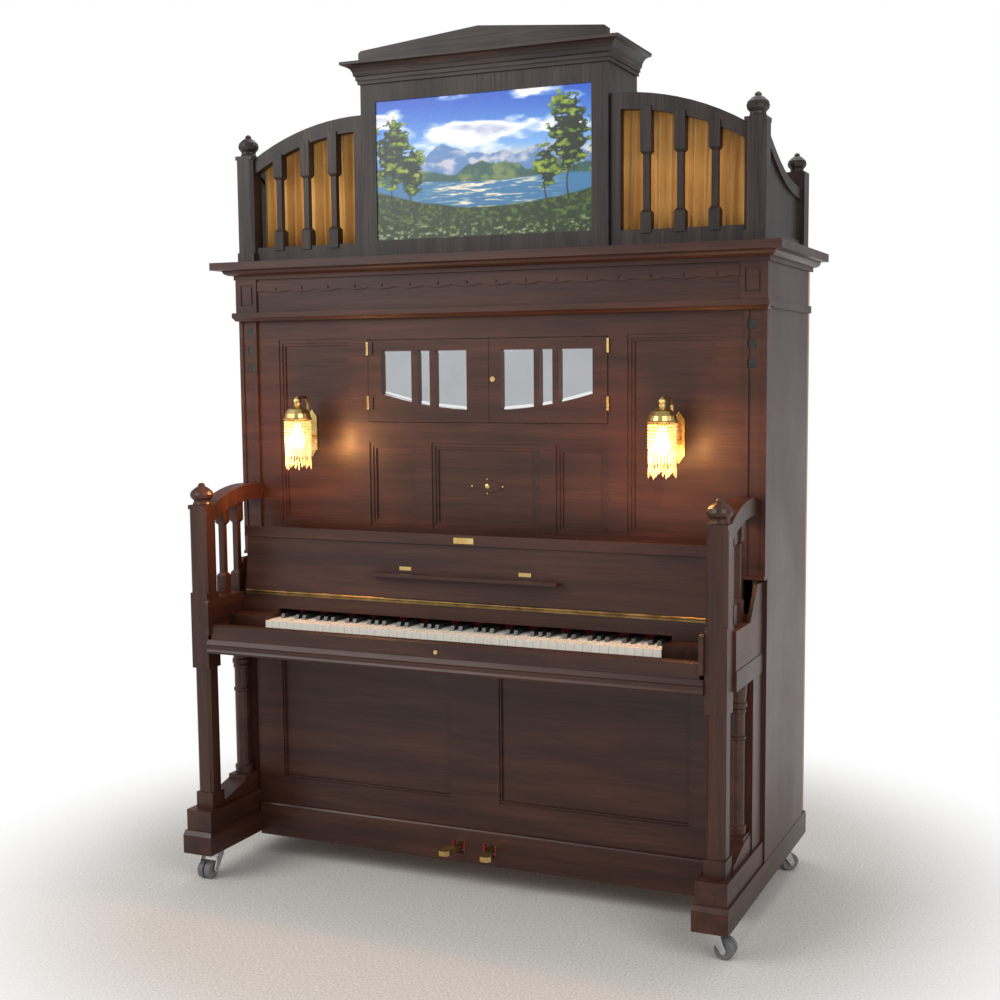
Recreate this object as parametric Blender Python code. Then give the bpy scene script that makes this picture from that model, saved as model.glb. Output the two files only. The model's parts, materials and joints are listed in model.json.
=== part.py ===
# Piano orchestrion with a picture box, side galleries and lit wall lamps.
# Metres, +X right, +Y to the back, +Z up. The floor is at z = 0.

import bpy
import bmesh
import math
from mathutils import Matrix, Vector

# Clearances
GAP = 0.0003            # between touching pieces
PLAY = 0.0006           # between moving pieces

# Overall case
case_half_width = 0.797
side_thickness = 0.040
case_rear = 0.470       # rear of the side panels, behind the front plane
back_depth = 0.045      # depth of the back posts behind the side panels
foot_reach = 0.338      # front of the feet, ahead of the front plane
inlet_depth = 0.025
rear_reach = case_rear + back_depth + inlet_depth
front = (foot_reach - rear_reach) / 2   # y of the upper front plane
facade_thickness = 0.0247
panel_face = 0.008      # panel frame behind the front plane

# Heights
foot_bottom = 0.082
lower_plinth_top = 0.147
floor_top = 0.167
upper_plinth_top = 0.207
keybed_bottom = 0.662
keybed_top = 0.712
cheek_top = 0.812
pilaster_bottom = 0.905
belt_bottom = 1.597
belt_height = 0.024
frieze_top = 1.7177
cornice_board_height = 0.022
cornice_height = 0.0483
cornice_top = frieze_top + cornice_height

# Main cornice overhangs
cornice_side = 0.051
cornice_front = 0.069
cornice_rear = 0.495

# Keyboard
white_pitch = 0.0235
white_count = 50
key_gap = 0.0009
white_height = 0.025
white_top = 0.747
black_rise = 0.012
black_width = 0.011
key_front = -0.212      # from the front plane
black_front = -0.162
key_tail_end = -0.062
key_head = 0.050
balance_y = 0.040
key_stick_end = 0.090
key_stick_bottom = 0.733
stick_width = 0.009
key_rail_height = 0.0117
black_rail_low = 0.002  # above the white tops
black_rail_rise = 0.010
keyboard_half = white_pitch * white_count / 2

# Key slip, moulding and lid
well_half = 0.712
slip_face = -0.298
slip_thickness = 0.023
slip_top = 0.741
moulding_face = -0.308
moulding_top = 0.6985
hinge_y = -0.138
hinge_z = 0.818
hinge_radius = 0.004
hinge_leaf = 0.009
lid_lean = math.radians(5.0)
lid_half = 0.700
lid_length = 0.186
lid_thickness = 0.018
lid_rail_height = 0.028
lid_rail_depth = 0.008
name_bottom = 0.770
name_thickness = 0.018
ledge_half = 0.284
ledge_height = 0.063    # from the lid hinge up to the ledge
ledge_depth = 0.028
ledge_thickness = 0.009
ledge_knuckle = 0.0045

# Upper front
lamp_panel_inner = 0.420
lamp_panel_outer = 0.665
lamp_panel_bottom = 1.006
lamp_panel_top = 1.541
small_panel_inner = 0.214
small_panel_outer = 0.365
wide_panel_half = 0.165
low_panel_bottom = 1.004
low_panel_top = 1.245
panel_step = 0.010
panel_sink = 0.018
upper_bottom = 0.830
pilaster_inner = 0.737
door_half = 0.364
door_split = 0.016
door_bottom = 1.304
door_top = 1.535
door_face = 0.006
door_thickness = 0.018
door_rebate = 0.006
pane_top = 1.505
pane_low = 1.338
pane_curve = 1.150
pane_edges = ((0.052, 0.151), (0.167, 0.206), (0.225, 0.322))
barrel_radius = 0.0035

# Lower front
wing_front = -0.070
wing_half = 0.787
plinth_inner = 0.711
wing_inner = plinth_inner
lower_face = -0.078
lower_thickness = 0.020
lower_panel_inner = 0.076
lower_panel_outer = 0.624
lower_panel_bottom = 0.254
lower_panel_top = 0.615
toe_face = -0.088
toe_top = 0.172
toe_bottom = 0.075
pedal_x = 0.048
pedal_slot_width = 0.038
pedal_slot_low = 0.100
pedal_slot_high = 0.136

# Consoles and feet
post_x = 0.752
post_y = -0.268
post_half = 0.028
post_narrow = 0.025
post_chamfer = 0.008
post_waist_low = 0.252
post_waist_high = 0.613
post_square_high = 0.828
post_top = 1.077
finial_height = 0.061
finial_radius = 0.033
arm_half = 0.024
arm_peak = 1.121
arm_peak_y = -0.055
arm_sag = 1.25          # fall of the arm, per metre, from its peak
arm_height = 0.046
spindle_half = 0.0145
spindle_core = 0.0085
arm_spindles = (-0.174, -0.105)
arm_block_low = 0.872
arm_block_high = 1.010
foot_inner = 0.705
foot_outer = 0.799

plinth_outer = 0.793
plinth_reach = 0.326
column_radius = 0.0215
column_y = wing_front - 0.0285
base_plate_top = 0.262
base_plate_half = 0.0275
column_top = keybed_bottom - GAP

# Casters
caster_offset = 0.022
wheel_radius = 0.0255
wheel_width = 0.042
axle_radius = 0.004
fork_width = 0.060
fork_thickness = 0.004
caster_front_y = -0.268
caster_rear_y = 0.400

# Galleries
gallery_post_x = 0.7625
gallery_post_y = 0.0223
gallery_post_half = 0.0283
gallery_post_top = 2.080
rear_post_y = 0.462
rear_post_top = 1.992
gallery_finial = 0.059
stile_inner = 0.372
stile_width = 0.028
arch_top = 2.166
arch_end = 2.068
arch_rail = 0.043
gallery_face = 0.010
gallery_thickness = 0.026
gallery_rail_top = 1.811
gallery_spindles = (0.470, 0.562, 0.654)
gallery_block_high = 2.002
gallery_block_low = 1.862
side_rail_front = 2.060
side_rail_rear = 1.944
side_panel_thickness = 0.020
curtain_mid = 0.058
curtain_fold = 0.009
curtain_folds = 11
curtain_thickness = 0.003

# Tower
tower_half = 0.370
tower_depth = 0.229
tower_top = 2.246
picture_half = 0.323
picture_bottom = 1.814
picture_top = 2.196
picture_set = 0.003
picture_thickness = 0.005
crown_top = 2.3047
crown_over = 0.0424
pediment_end = 0.032
pediment_peak = 0.066
pediment_thickness = 0.022

# Lamps
lamp_x = 0.547
lamp_y = -0.084
plate_x = 0.560
dome_bottom = 1.311
dome_radius = 0.038
dome_height = 0.040
lamp_finial = 0.026
fringe_length = 0.139
arm_radius = 0.0045


def remove_old_objects():
    """Empty the scene."""
    for thing in list(bpy.data.objects):
        bpy.data.objects.remove(thing, do_unlink=True)


def make_material(name, colour, roughness=0.5, metallic=0.0):
    """A Principled material."""
    material = bpy.data.materials.new(name)
    material.use_nodes = True
    shader = material.node_tree.nodes["Principled BSDF"]
    shader.inputs["Base Color"].default_value = (*colour, 1.0)
    shader.inputs["Roughness"].default_value = roughness
    shader.inputs["Metallic"].default_value = metallic
    return material


def block(x0, x1, y0, y1, z0, z1):
    """A box between two corners, y measured from the front plane."""
    return levels([(z0, x0, x1, y0, y1), (z1, x0, x1, y0, y1)])


def levels(rows):
    """A stack of rectangles (z, x0, x1, y0, y1) from low to high, walled between."""
    points = []
    for z, x0, x1, y0, y1 in rows:
        points += [(x0, front + y0, z), (x1, front + y0, z), (x1, front + y1, z), (x0, front + y1, z)]
    faces = [(0, 3, 2, 1)]
    for row in range(len(rows) - 1):
        base = 4 * row
        for side in range(4):
            nxt = (side + 1) % 4
            faces.append((base + side, base + nxt, base + 4 + nxt, base + 4 + side))
    top = 4 * (len(rows) - 1)
    faces.append((top, top + 1, top + 2, top + 3))
    return points, faces


def prism(outline, axis, low, high):
    """An outline pushed along an axis: pairs are the two other coordinates in X, Y, Z order."""
    count = len(outline)
    points = []
    for depth in (low, high):
        for a, b in outline:
            if axis == "x":
                points.append((depth, front + a, b))
            elif axis == "y":
                points.append((a, front + depth, b))
            else:
                points.append((a, front + b, depth))
    faces = [tuple(range(count)), tuple(range(2 * count - 1, count - 1, -1))]
    for i in range(count):
        j = (i + 1) % count
        faces.append((i, i + count, j + count, j))
    return points, faces


def turned(profile, x, y, steps=16, axis="z"):
    """A profile of (radius, height) pairs turned about an axis through (x, y)."""
    points = []
    for radius, height in profile:
        for i in range(steps):
            turn = 2 * math.pi * i / steps
            a, b = radius * math.cos(turn), radius * math.sin(turn)
            if axis == "z":
                points.append((x + a, front + y + b, height))
            elif axis == "x":
                points.append((height, front + x + a, y + b))
            else:
                points.append((x + a, front + height, y + b))
    faces = [tuple(range(steps - 1, -1, -1))]
    for row in range(len(profile) - 1):
        base = row * steps
        for i in range(steps):
            j = (i + 1) % steps
            faces.append((base + i, base + j, base + steps + j, base + steps + i))
    top = (len(profile) - 1) * steps
    faces.append(tuple(range(top, top + steps)))
    return points, faces


def tube(route, radius, sides=8):
    """A round tube along a route of points."""
    points = []
    for i, spot in enumerate(route):
        before = Vector(route[max(i - 1, 0)])
        after = Vector(route[min(i + 1, len(route) - 1)])
        along = (after - before).normalized()
        across = along.cross(Vector((1, 0, 0))).normalized()
        other = along.cross(across)
        for k in range(sides):
            turn = 2 * math.pi * k / sides
            ring = Vector(spot) + radius * (math.cos(turn) * across + math.sin(turn) * other)
            points.append((ring.x, front + ring.y, ring.z))
    faces = [tuple(range(sides))]
    for row in range(len(route) - 1):
        base = row * sides
        for k in range(sides):
            n = (k + 1) % sides
            faces.append((base + k, base + sides + k, base + sides + n, base + n))
    top = (len(route) - 1) * sides
    faces.append(tuple(range(top + sides - 1, top - 1, -1)))
    return points, faces


def shells_mesh(name, shells):
    """One mesh from closed shells, each with its faces turned outward."""
    work = bmesh.new()
    for points, faces in shells:
        corners = [work.verts.new(p) for p in points]
        made = [work.faces.new([corners[i] for i in face]) for face in faces]
        bmesh.ops.recalc_face_normals(work, faces=made)
        volume = sum(f.calc_center_median().dot(f.normal) * f.calc_area() for f in made)
        if volume < 0:
            bmesh.ops.reverse_faces(work, faces=made)
    mesh = bpy.data.meshes.new(name)
    work.to_mesh(mesh)
    work.free()
    return mesh


def apply_boolean(thing, shells, operation):
    """Join or cut a thing with overlapping closed shells."""
    tool = bpy.data.objects.new(thing.name + "_tool", shells_mesh("tool", shells))
    bpy.context.scene.collection.objects.link(tool)
    change = thing.modifiers.new("change", "BOOLEAN")
    change.operation = operation
    change.solver = "EXACT"
    change.use_self = True
    change.object = tool
    bpy.context.view_layer.update()
    graph = bpy.context.evaluated_depsgraph_get()
    mesh = bpy.data.meshes.new_from_object(thing.evaluated_get(graph))
    thing.modifiers.clear()
    thing.data = mesh
    bpy.data.objects.remove(tool, do_unlink=True)


def piece(name, material, shells, cuts=(), smooth=True, pivot=None, turn=None):
    """A named sub-part: shells joined, cuts taken away, origin on its pivot."""
    thing = bpy.data.objects.new(name, shells_mesh(name, shells[:1]))
    bpy.context.scene.collection.objects.link(thing)
    if len(shells) > 1:
        apply_boolean(thing, shells[1:], "UNION")
    if cuts:
        apply_boolean(thing, cuts, "DIFFERENCE")
    mesh = thing.data
    if turn:
        mesh.transform(turn)
    work = bmesh.new()
    work.from_mesh(mesh)
    bmesh.ops.remove_doubles(work, verts=work.verts, dist=0.00002)
    bmesh.ops.dissolve_limit(work, angle_limit=math.radians(0.5), verts=work.verts, edges=work.edges)
    work.to_mesh(mesh)
    work.free()
    if pivot:
        mesh.transform(Matrix.Translation(-Vector(pivot)))
        thing.location = pivot
    if smooth:
        mesh.shade_smooth()
        mesh.set_sharp_from_angle(angle=math.radians(35))
    mesh.materials.clear()
    mesh.materials.append(material)
    mesh.name = name
    return thing


def mirror_x(sign, low, high):
    """An x range on the right, or its mirror on the left."""
    return (low, high) if sign > 0 else (-high, -low)


def sided(sign, low, high, y0, y1, z0, z1):
    """A box on the right or left side."""
    x0, x1 = mirror_x(sign, low, high)
    return block(x0, x1, y0, y1, z0, z1)


def finial_profile(bottom, height, radius):
    """Onion finial: collar, neck, bulb and a small tip."""
    shape = ((0.75, 0.0), (0.78, 0.10), (0.70, 0.18), (0.70, 0.26), (0.94, 0.38), (1.0, 0.50),
             (0.90, 0.64), (0.58, 0.78), (0.30, 0.86), (0.30, 0.93), (0.14, 1.0))
    return [(radius * r, bottom + height * h) for r, h in shape]


def flat_spindle(x, y, bottom, block_low, block_high, top):
    """Square blocks at both ends with sloped shoulders and a thin core."""
    h, c = spindle_half, spindle_core
    shoulder = 0.008
    rows = ((bottom, h), (block_low - shoulder, h), (block_low, c), (block_high, c),
            (block_high + shoulder, h), (top, h))
    return levels([(z, x - r, x + r, y - r, y + r) for z, r in rows])


def chamfered_post(x, y, half, chamfer, low, high):
    """A square post whose four edges are cut back between two stops."""
    h, c = half, chamfer
    outline = [(x - h + c, y - h), (x + h - c, y - h), (x + h, y - h + c), (x + h, y + h - c),
               (x + h - c, y + h), (x - h + c, y + h), (x - h, y + h - c), (x - h, y - h + c)]
    return prism(outline, "z", low, high)


def build_case(wood, pale, iron, dark):
    """Side panels, back, floor and what stands inside."""
    inner = case_half_width - side_thickness
    for sign, side in ((-1, "left"), (1, "right")):
        main = sided(sign, inner, case_half_width, facade_thickness + GAP, case_rear,
                     lower_plinth_top + GAP, frieze_top - GAP)
        wing = sided(sign, wing_inner, wing_half, wing_front, facade_thickness + 0.010,
                     upper_plinth_top + GAP, keybed_bottom - GAP)
        piece("case_side_" + side, wood, [main, wing])
    rail = 0.120
    back_y0, back_y1 = case_rear + GAP, case_rear + back_depth
    half = case_half_width - 0.006
    top = frieze_top - GAP
    beams = [block(-half, half, back_y0, back_y1, top - rail, top),
             block(-half, half, back_y0, back_y1, lower_plinth_top + GAP, lower_plinth_top + rail)]
    posts = 5
    post_width = 0.090
    for i in range(posts):
        x = -half + post_width / 2 + i * (2 * half - post_width) / (posts - 1)
        beams.append(block(x - post_width / 2, x + post_width / 2, back_y0, back_y1,
                           lower_plinth_top + 0.010, top - 0.010))
    board = block(-inner + GAP, inner - GAP, case_rear - 0.010, case_rear + 0.010,
                  lower_plinth_top + 0.010, top - 0.005)
    piece("back_frame", pale, beams + [board])
    inlet_x = half - 0.060
    piece("mains_inlet", dark, [block(inlet_x - 0.030, inlet_x + 0.030, back_y1 + GAP,
                                      back_y1 + inlet_depth, 0.560, 0.650)])
    plate_y1 = case_rear - 0.010 - GAP
    plate_y0 = plate_y1 - 0.030
    piece("case_floor", pale, [
        block(-plinth_inner + GAP, plinth_inner - GAP, toe_face + 0.020 + GAP, facade_thickness + 0.010,
              lower_plinth_top + GAP, floor_top),
        block(-inner + GAP, inner - GAP, facade_thickness + GAP, plate_y1, lower_plinth_top + GAP, floor_top)])
    frame_shell = block(-0.700, 0.700, plate_y0, plate_y1, floor_top + GAP, 1.280)
    openings = []
    for x0, x1 in ((-0.640, -0.260), (-0.200, 0.120), (0.180, 0.400), (0.460, 0.640)):
        openings.append(block(x0, x1, plate_y0 - 0.01, plate_y1 + 0.01, 0.260, 1.050))
    piece("iron_frame", iron, [frame_shell], openings)


def build_interior(pale, steel, cloth):
    """Action with pneumatic stack, roll mechanism and wind pump."""
    plate_y0 = case_rear - 0.010 - GAP - 0.030
    back = plate_y0 - GAP
    shells = [block(-0.620, 0.620, back - 0.060, back, 0.900, 1.010)]
    for i in range(3):
        low = 0.760 + 0.100 * i
        shells.append(block(-0.600, 0.600, back - 0.190, back - 0.110, low, low + 0.070))
    shells.append(block(-0.620, -0.590, back - 0.190, back - 0.010, 0.760, 1.020))
    shells.append(block(0.590, 0.620, back - 0.190, back - 0.010, 0.760, 1.020))
    for i in range(12):
        x = -0.550 + 0.100 * i
        shells.append(block(x - 0.012, x + 0.012, back - 0.120, back - 0.050, 0.985, 1.120))
    shells.append(block(-0.620, 0.620, back - 0.120, back - 0.050, 0.970, 1.000))
    piece("piano_action", pale, shells)
    y0, y1 = facade_thickness + 0.012, facade_thickness + 0.120
    spool = 0.030
    shells = [block(-0.280, -0.262, y0, y1, 1.290, 1.550), block(0.262, 0.280, y0, y1, 1.290, 1.550),
              block(-0.275, 0.275, y1 - 0.012, back, 1.286, 1.300),
              block(-0.270, 0.270, y1 - 0.020, y1 - 0.008, 1.292, 1.545),
              block(-0.270, 0.270, y0 + 0.010, y1 - 0.010, 1.405, 1.425)]
    for z in (1.350, 1.490):
        shells.append(turned([(spool, -0.270), (spool, 0.270)], (y0 + y1) / 2 - 0.010, z, 14, "x"))
    piece("roll_mechanism", steel, shells)
    pump = [levels([(floor_top + GAP, -0.400, 0.150, 0.060, 0.330), (0.180, -0.400, 0.150, 0.060, 0.330),
                    (0.215, -0.385, 0.135, 0.075, 0.315), (0.250, -0.400, 0.150, 0.060, 0.330),
                    (0.285, -0.385, 0.135, 0.075, 0.315), (0.320, -0.400, 0.150, 0.060, 0.330),
                    (0.345, -0.400, 0.150, 0.060, 0.330)]),
            block(0.140, 0.480, 0.120, 0.280, floor_top + GAP, 0.190),
            turned([(0.065, 0.270), (0.065, 0.430)], 0.200, 0.240, 18, "x"),
            block(0.300, 0.400, 0.150, 0.250, floor_top + GAP, 0.220),
            turned([(0.010, 0.120), (0.010, 0.290)], 0.200, 0.240, 10, "x")]
    piece("wind_pump", cloth, pump)


def build_upper_front(wood, mirror):
    """Facade with its sunk panels and pilasters, and the two glazed doors."""
    board = block(-case_half_width + 0.010, case_half_width - 0.010, panel_face, facade_thickness,
                  pilaster_bottom + 0.002, belt_bottom - GAP)
    skirt = block(-pilaster_inner, pilaster_inner, panel_face, facade_thickness,
                  upper_bottom, belt_bottom - GAP)
    shells = [board, skirt]
    for sign in (-1, 1):
        shells.append(sided(sign, pilaster_inner, case_half_width, 0.004, facade_thickness,
                            pilaster_bottom, belt_bottom - GAP))
        for low, high in ((pilaster_inner, pilaster_inner + 0.012),
                          (case_half_width - 0.012, case_half_width)):
            shells.append(sided(sign, low, high, 0.0, facade_thickness - 0.004,
                                pilaster_bottom, belt_bottom - GAP))
        shells.append(sided(sign, pilaster_inner, case_half_width, -0.006, facade_thickness - 0.004,
                            pilaster_bottom, pilaster_bottom + 0.009))
    cuts = [block(-door_half - 0.002, door_half + 0.002, panel_face - 0.05, facade_thickness + 0.05,
                  door_bottom - 0.0015, door_top + 0.0015)]
    panels = [(-wide_panel_half, wide_panel_half, low_panel_bottom, low_panel_top)]
    for sign in (-1, 1):
        panels.append((*mirror_x(sign, small_panel_inner, small_panel_outer), low_panel_bottom, low_panel_top))
        panels.append((*mirror_x(sign, lamp_panel_inner, lamp_panel_outer), lamp_panel_bottom, lamp_panel_top))
    for x0, x1, z0, z1 in panels:
        cuts.append(block(x0, x1, -0.05, panel_face + 0.003, z0, z1))
        s = panel_step
        cuts.append(block(x0 + s, x1 - s, -0.05, panel_face + 0.006, z0 + s, z1 - s))
        s = panel_sink
        cuts.append(block(x0 + s, x1 - s, -0.05, panel_face + 0.010, z0 + s, z1 - s))
    square = 0.012
    for sign in (-1, 1):
        for z in (1.560, 1.510, 1.461):
            x0, x1 = mirror_x(sign, 0.7575 - square, 0.7575 + square)
            cuts.append(block(x0, x1, -0.05, 0.007, z - square, z + square))
    piece("upper_front", wood, shells, cuts)

    for sign, side in ((-1, "left"), (1, "right")):
        if sign < 0:
            x0, x1 = -door_half, door_split - PLAY
        else:
            x0, x1 = door_split + PLAY, door_half
        y0, y1 = door_face, door_face + door_thickness
        shells = [block(x0, x1, y0, y1, door_bottom, door_top)]
        hinge_x = sign * (door_half + 0.002)
        barrel_y = door_face - 0.002
        for z in (1.358, 1.512):
            shells.append(turned([(barrel_radius, z - 0.019), (barrel_radius, z + 0.019)],
                                 hinge_x, barrel_y, 12))
            leaf = sorted((hinge_x, hinge_x - sign * 0.017))
            shells.append(block(leaf[0], leaf[1], barrel_y - 0.0012, y0 + 0.001, z - 0.018, z + 0.018))
        cuts = []
        for low, high in pane_edges:
            cuts.append(prism(pane_outline(sign, low, high), "y", y0 - 0.02, y1 + 0.02))
        low, high = pane_edges[0][0] - 0.012, pane_edges[-1][1] + 0.012
        r0, r1 = mirror_x(sign, low, high)
        cuts.append(block(r0, r1, y1 - door_rebate, y1 + 0.02, pane_low - 0.012, pane_top + 0.012))
        piece("door_" + side, wood, shells, cuts, pivot=(hinge_x, front + barrel_y, 0))
        g0, g1 = r0 + GAP, r1 - GAP
        piece("door_glass_" + side, mirror,
              [block(g0, g1, y1 - door_rebate + GAP, y1 - door_rebate + 0.0045,
                     pane_low - 0.012 + GAP, pane_top + 0.012 - GAP)],
              pivot=(hinge_x, front + barrel_y, 0))


def pane_outline(sign, low, high):
    """A pane with a straight top and a bottom on one wide arc."""
    steps = 5
    bottom = []
    for i in range(steps + 1):
        x = low + (high - low) * i / steps
        z = pane_low + pane_curve - math.sqrt(pane_curve ** 2 - x ** 2)
        bottom.append((sign * x, z))
    return bottom + [(sign * high, pane_top), (sign * low, pane_top)]


def build_cornices(wood, dark):
    """Main cornice, frieze with belt and scallops, crown with pediment."""
    board_low = cornice_top - cornice_board_height
    w = case_half_width
    shapes = ((frieze_top, 0.008, 0.010), (frieze_top + 0.0115, 0.008, 0.010),
              (frieze_top + 0.0125, 0.018, 0.024), (frieze_top + 0.017, 0.026, 0.034),
              (frieze_top + 0.0235, 0.029, 0.038), (board_low, 0.029, 0.038),
              (board_low + 0.0002, cornice_side, cornice_front), (cornice_top, cornice_side, cornice_front))
    rows = [(z, -w - side, w + side, -face, cornice_rear) for z, side, face in shapes]
    piece("main_cornice", wood, [levels(rows)])

    belt_top = belt_bottom + belt_height
    rear = facade_thickness
    shapes = ((belt_bottom, 0.004, 0.012), (belt_bottom + 0.006, 0.006, 0.018),
              (belt_bottom + 0.010, 0.009, 0.023), (belt_top, 0.009, 0.023))
    shells = [levels([(z, -w - side, w + side, -face, rear) for z, side, face in shapes])]
    for sign in (-1, 1):
        x0, x1 = mirror_x(sign, w + GAP, w + 0.009)
        shells.append(block(x0, x1, rear - 0.010, case_rear, belt_bottom + 0.004, belt_top))
        shells.append(sided(sign, 0.728, w + 0.003, -0.009, rear, belt_top - 0.004, frieze_top - GAP))
    shells.append(block(-w, w, -0.003, rear, belt_top - 0.004, frieze_top - GAP))
    shells.append(prism(scallop_outline(), "y", -0.007, 0.005))
    pitch = 0.0885
    for i in range(16):
        x = (i - 7.5) * pitch
        shells.append(turned([(0.0042, -0.0105), (0.0042, 0.0)], x, 1.690, 6, "y"))
    cuts = []
    for sign in (-1, 1):
        x0, x1 = mirror_x(sign, 0.740, 0.782)
        cuts.append(block(x0, x1, -0.05, -0.006, 1.640, 1.702))
    plug = []
    for sign in (-1, 1):
        x0, x1 = mirror_x(sign, 0.745, 0.777)
        plug.append(block(x0, x1, -0.009, 0.004, 1.645, 1.697))
    frieze = piece("frieze", wood, shells, cuts)
    apply_boolean(frieze, plug, "UNION")
    frieze.data.materials.clear()
    frieze.data.materials.append(wood)

    t, d = tower_half, tower_depth
    low = tower_top + GAP
    rise = crown_top - tower_top
    shapes = [(low, 0.006), (low + 0.010, 0.006), (low + 0.0102, 0.010), (low + 0.020, 0.010)]
    for i in range(5):
        turn = math.pi / 2 * i / 4
        shapes.append((low + 0.022 + (rise - 0.030) * math.sin(turn) * 0.95,
                       0.014 + (crown_over - 0.018) * (1 - math.cos(turn))))
    shapes += [(crown_top - 0.008, crown_over), (crown_top, crown_over)]
    rows = [(z, -t - over, t + over, -over, d) for z, over in shapes]
    end, peak = crown_top + pediment_end, crown_top + pediment_peak
    outline = [(-t, crown_top - 0.005), (t, crown_top - 0.005), (t, end - 0.006), (t - 0.008, end),
               (0, peak), (-t + 0.008, end), (-t, end - 0.006)]
    face = -0.008
    piece("crown", dark, [levels(rows), prism(outline, "y", face, face + pediment_thickness)])


def scallop_outline():
    """The applied band: straight top, lower edge of shallow waves between the studs."""
    half, top, low, wave = 0.726, 1.7120, 1.6850, 0.006
    pitch, steps = 0.0885, 4
    points = []
    count = round(2 * half / pitch * steps)
    for i in range(count + 1):
        x = -half + 2 * half * i / count
        points.append((x, low - wave * abs(math.sin(math.pi * (x / pitch)))))
    return points + [(half, top), (-half, top)]


def build_tower(dark, picture):
    """Picture box and the lit picture in it."""
    shell = block(-tower_half, tower_half, 0, tower_depth, cornice_top + GAP, tower_top)
    pocket = block(-picture_half, picture_half, -0.05, tower_depth - 0.020, picture_bottom, picture_top)
    piece("picture_box", dark, [shell], [pocket])
    g = GAP
    piece("picture", picture, [block(-picture_half + g, picture_half - g, picture_set,
                                     picture_set + picture_thickness, picture_bottom + g, picture_top - g)])


def arch_z(x):
    """Height of the arch's upper edge: an arc that is level at the tower."""
    run = gallery_post_x - gallery_post_half - stile_inner
    drop = arch_top - arch_end
    radius = (run ** 2 + drop ** 2) / (2 * drop)
    return arch_top - radius + math.sqrt(radius ** 2 - (x - stile_inner) ** 2)


def build_galleries(dark, cloth):
    """Arched front, posts and side for each gallery, and the folded cloth behind."""
    bottom = cornice_top + GAP
    for sign, side in ((-1, "left"), (1, "right")):
        px, py, ph = gallery_post_x, gallery_post_y, gallery_post_half
        y0, y1 = gallery_face, gallery_face + gallery_thickness
        x_end = px - ph
        shells = [levels([(bottom, sign * px - ph, sign * px + ph, py - ph, py + ph),
                          (gallery_post_top - 0.004, sign * px - ph, sign * px + ph, py - ph, py + ph)]),
                  turned(finial_profile(gallery_post_top - 0.008, gallery_finial + 0.008, 0.0300),
                         sign * px, py, 14)]
        steps = 10
        upper, lower = [], []
        for i in range(steps + 1):
            x = stile_inner + (x_end + 0.006 - stile_inner) * i / steps
            upper.append((sign * x, arch_z(x)))
            lower.append((sign * x, arch_z(x) - arch_rail))
        shells.append(prism(upper + lower[::-1], "y", y0, y1))
        shells.append(sided(sign, stile_inner, stile_inner + stile_width, y0, y1, bottom, arch_z(stile_inner) - 0.010))
        shells.append(sided(sign, stile_inner, x_end + 0.006, y0, y1, bottom, gallery_rail_top))
        for x in gallery_spindles:
            shells.append(flat_spindle(sign * x, (y0 + y1) / 2 - 0.003, gallery_rail_top - 0.010,
                                       gallery_block_low, gallery_block_high, arch_z(x) - arch_rail + 0.010))
        rx = rear_post_y
        shells.append(block(sign * px - ph, sign * px + ph, rx - ph, rx + ph, bottom, rear_post_top))
        shells.append(turned(finial_profile(rear_post_top - 0.005, gallery_finial, 0.027), sign * px, rx, 12))
        ya, yb = py + ph - 0.006, rx - ph + 0.006
        outline = [(ya, bottom), (yb, bottom), (yb, side_rail_rear)]
        for i in range(1, 8):
            part = i / 8
            sag = 0.030 * math.sin(math.pi * part)
            outline.append((yb + (ya - yb) * part, side_rail_rear + (side_rail_front - side_rail_rear) * part - sag))
        outline.append((ya, side_rail_front))
        t = side_panel_thickness / 2
        shells.append(prism(outline, "x", sign * px - t, sign * px + t))
        rail_top = [(y, z) for y, z in outline[2:]]
        rail_low = [(y, z - 0.030) for y, z in reversed(rail_top)]
        shells.append(prism(rail_top + rail_low, "x", sign * px - 0.018, sign * px + 0.018))
        shells.append(block(sign * px - 0.018, sign * px + 0.018, ya, yb, bottom, bottom + 0.034))
        chamfer = [corner_cut(sign * px, py, ph, post_chamfer, sx, sy, bottom + 0.030, gallery_post_top - 0.015)
                   for sx in (-1, 1) for sy in (-1, 1)]
        piece("gallery_" + side, dark, shells, chamfer)
        build_curtain(sign, side, cloth, bottom)


def corner_cut(x, y, half, chamfer, sx, sy, low, high):
    """A three-sided cutter that takes one long edge off a post."""
    cx, cy = x + sx * half, y + sy * half
    c = chamfer
    e = 0.004
    outline = [(cx - sx * c, cy + sy * e), (cx + sx * e, cy + sy * e), (cx + sx * e, cy - sy * c),
               (cx, cy - sy * c), (cx - sx * c, cy)]
    return prism(outline, "z", low, high)


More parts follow.
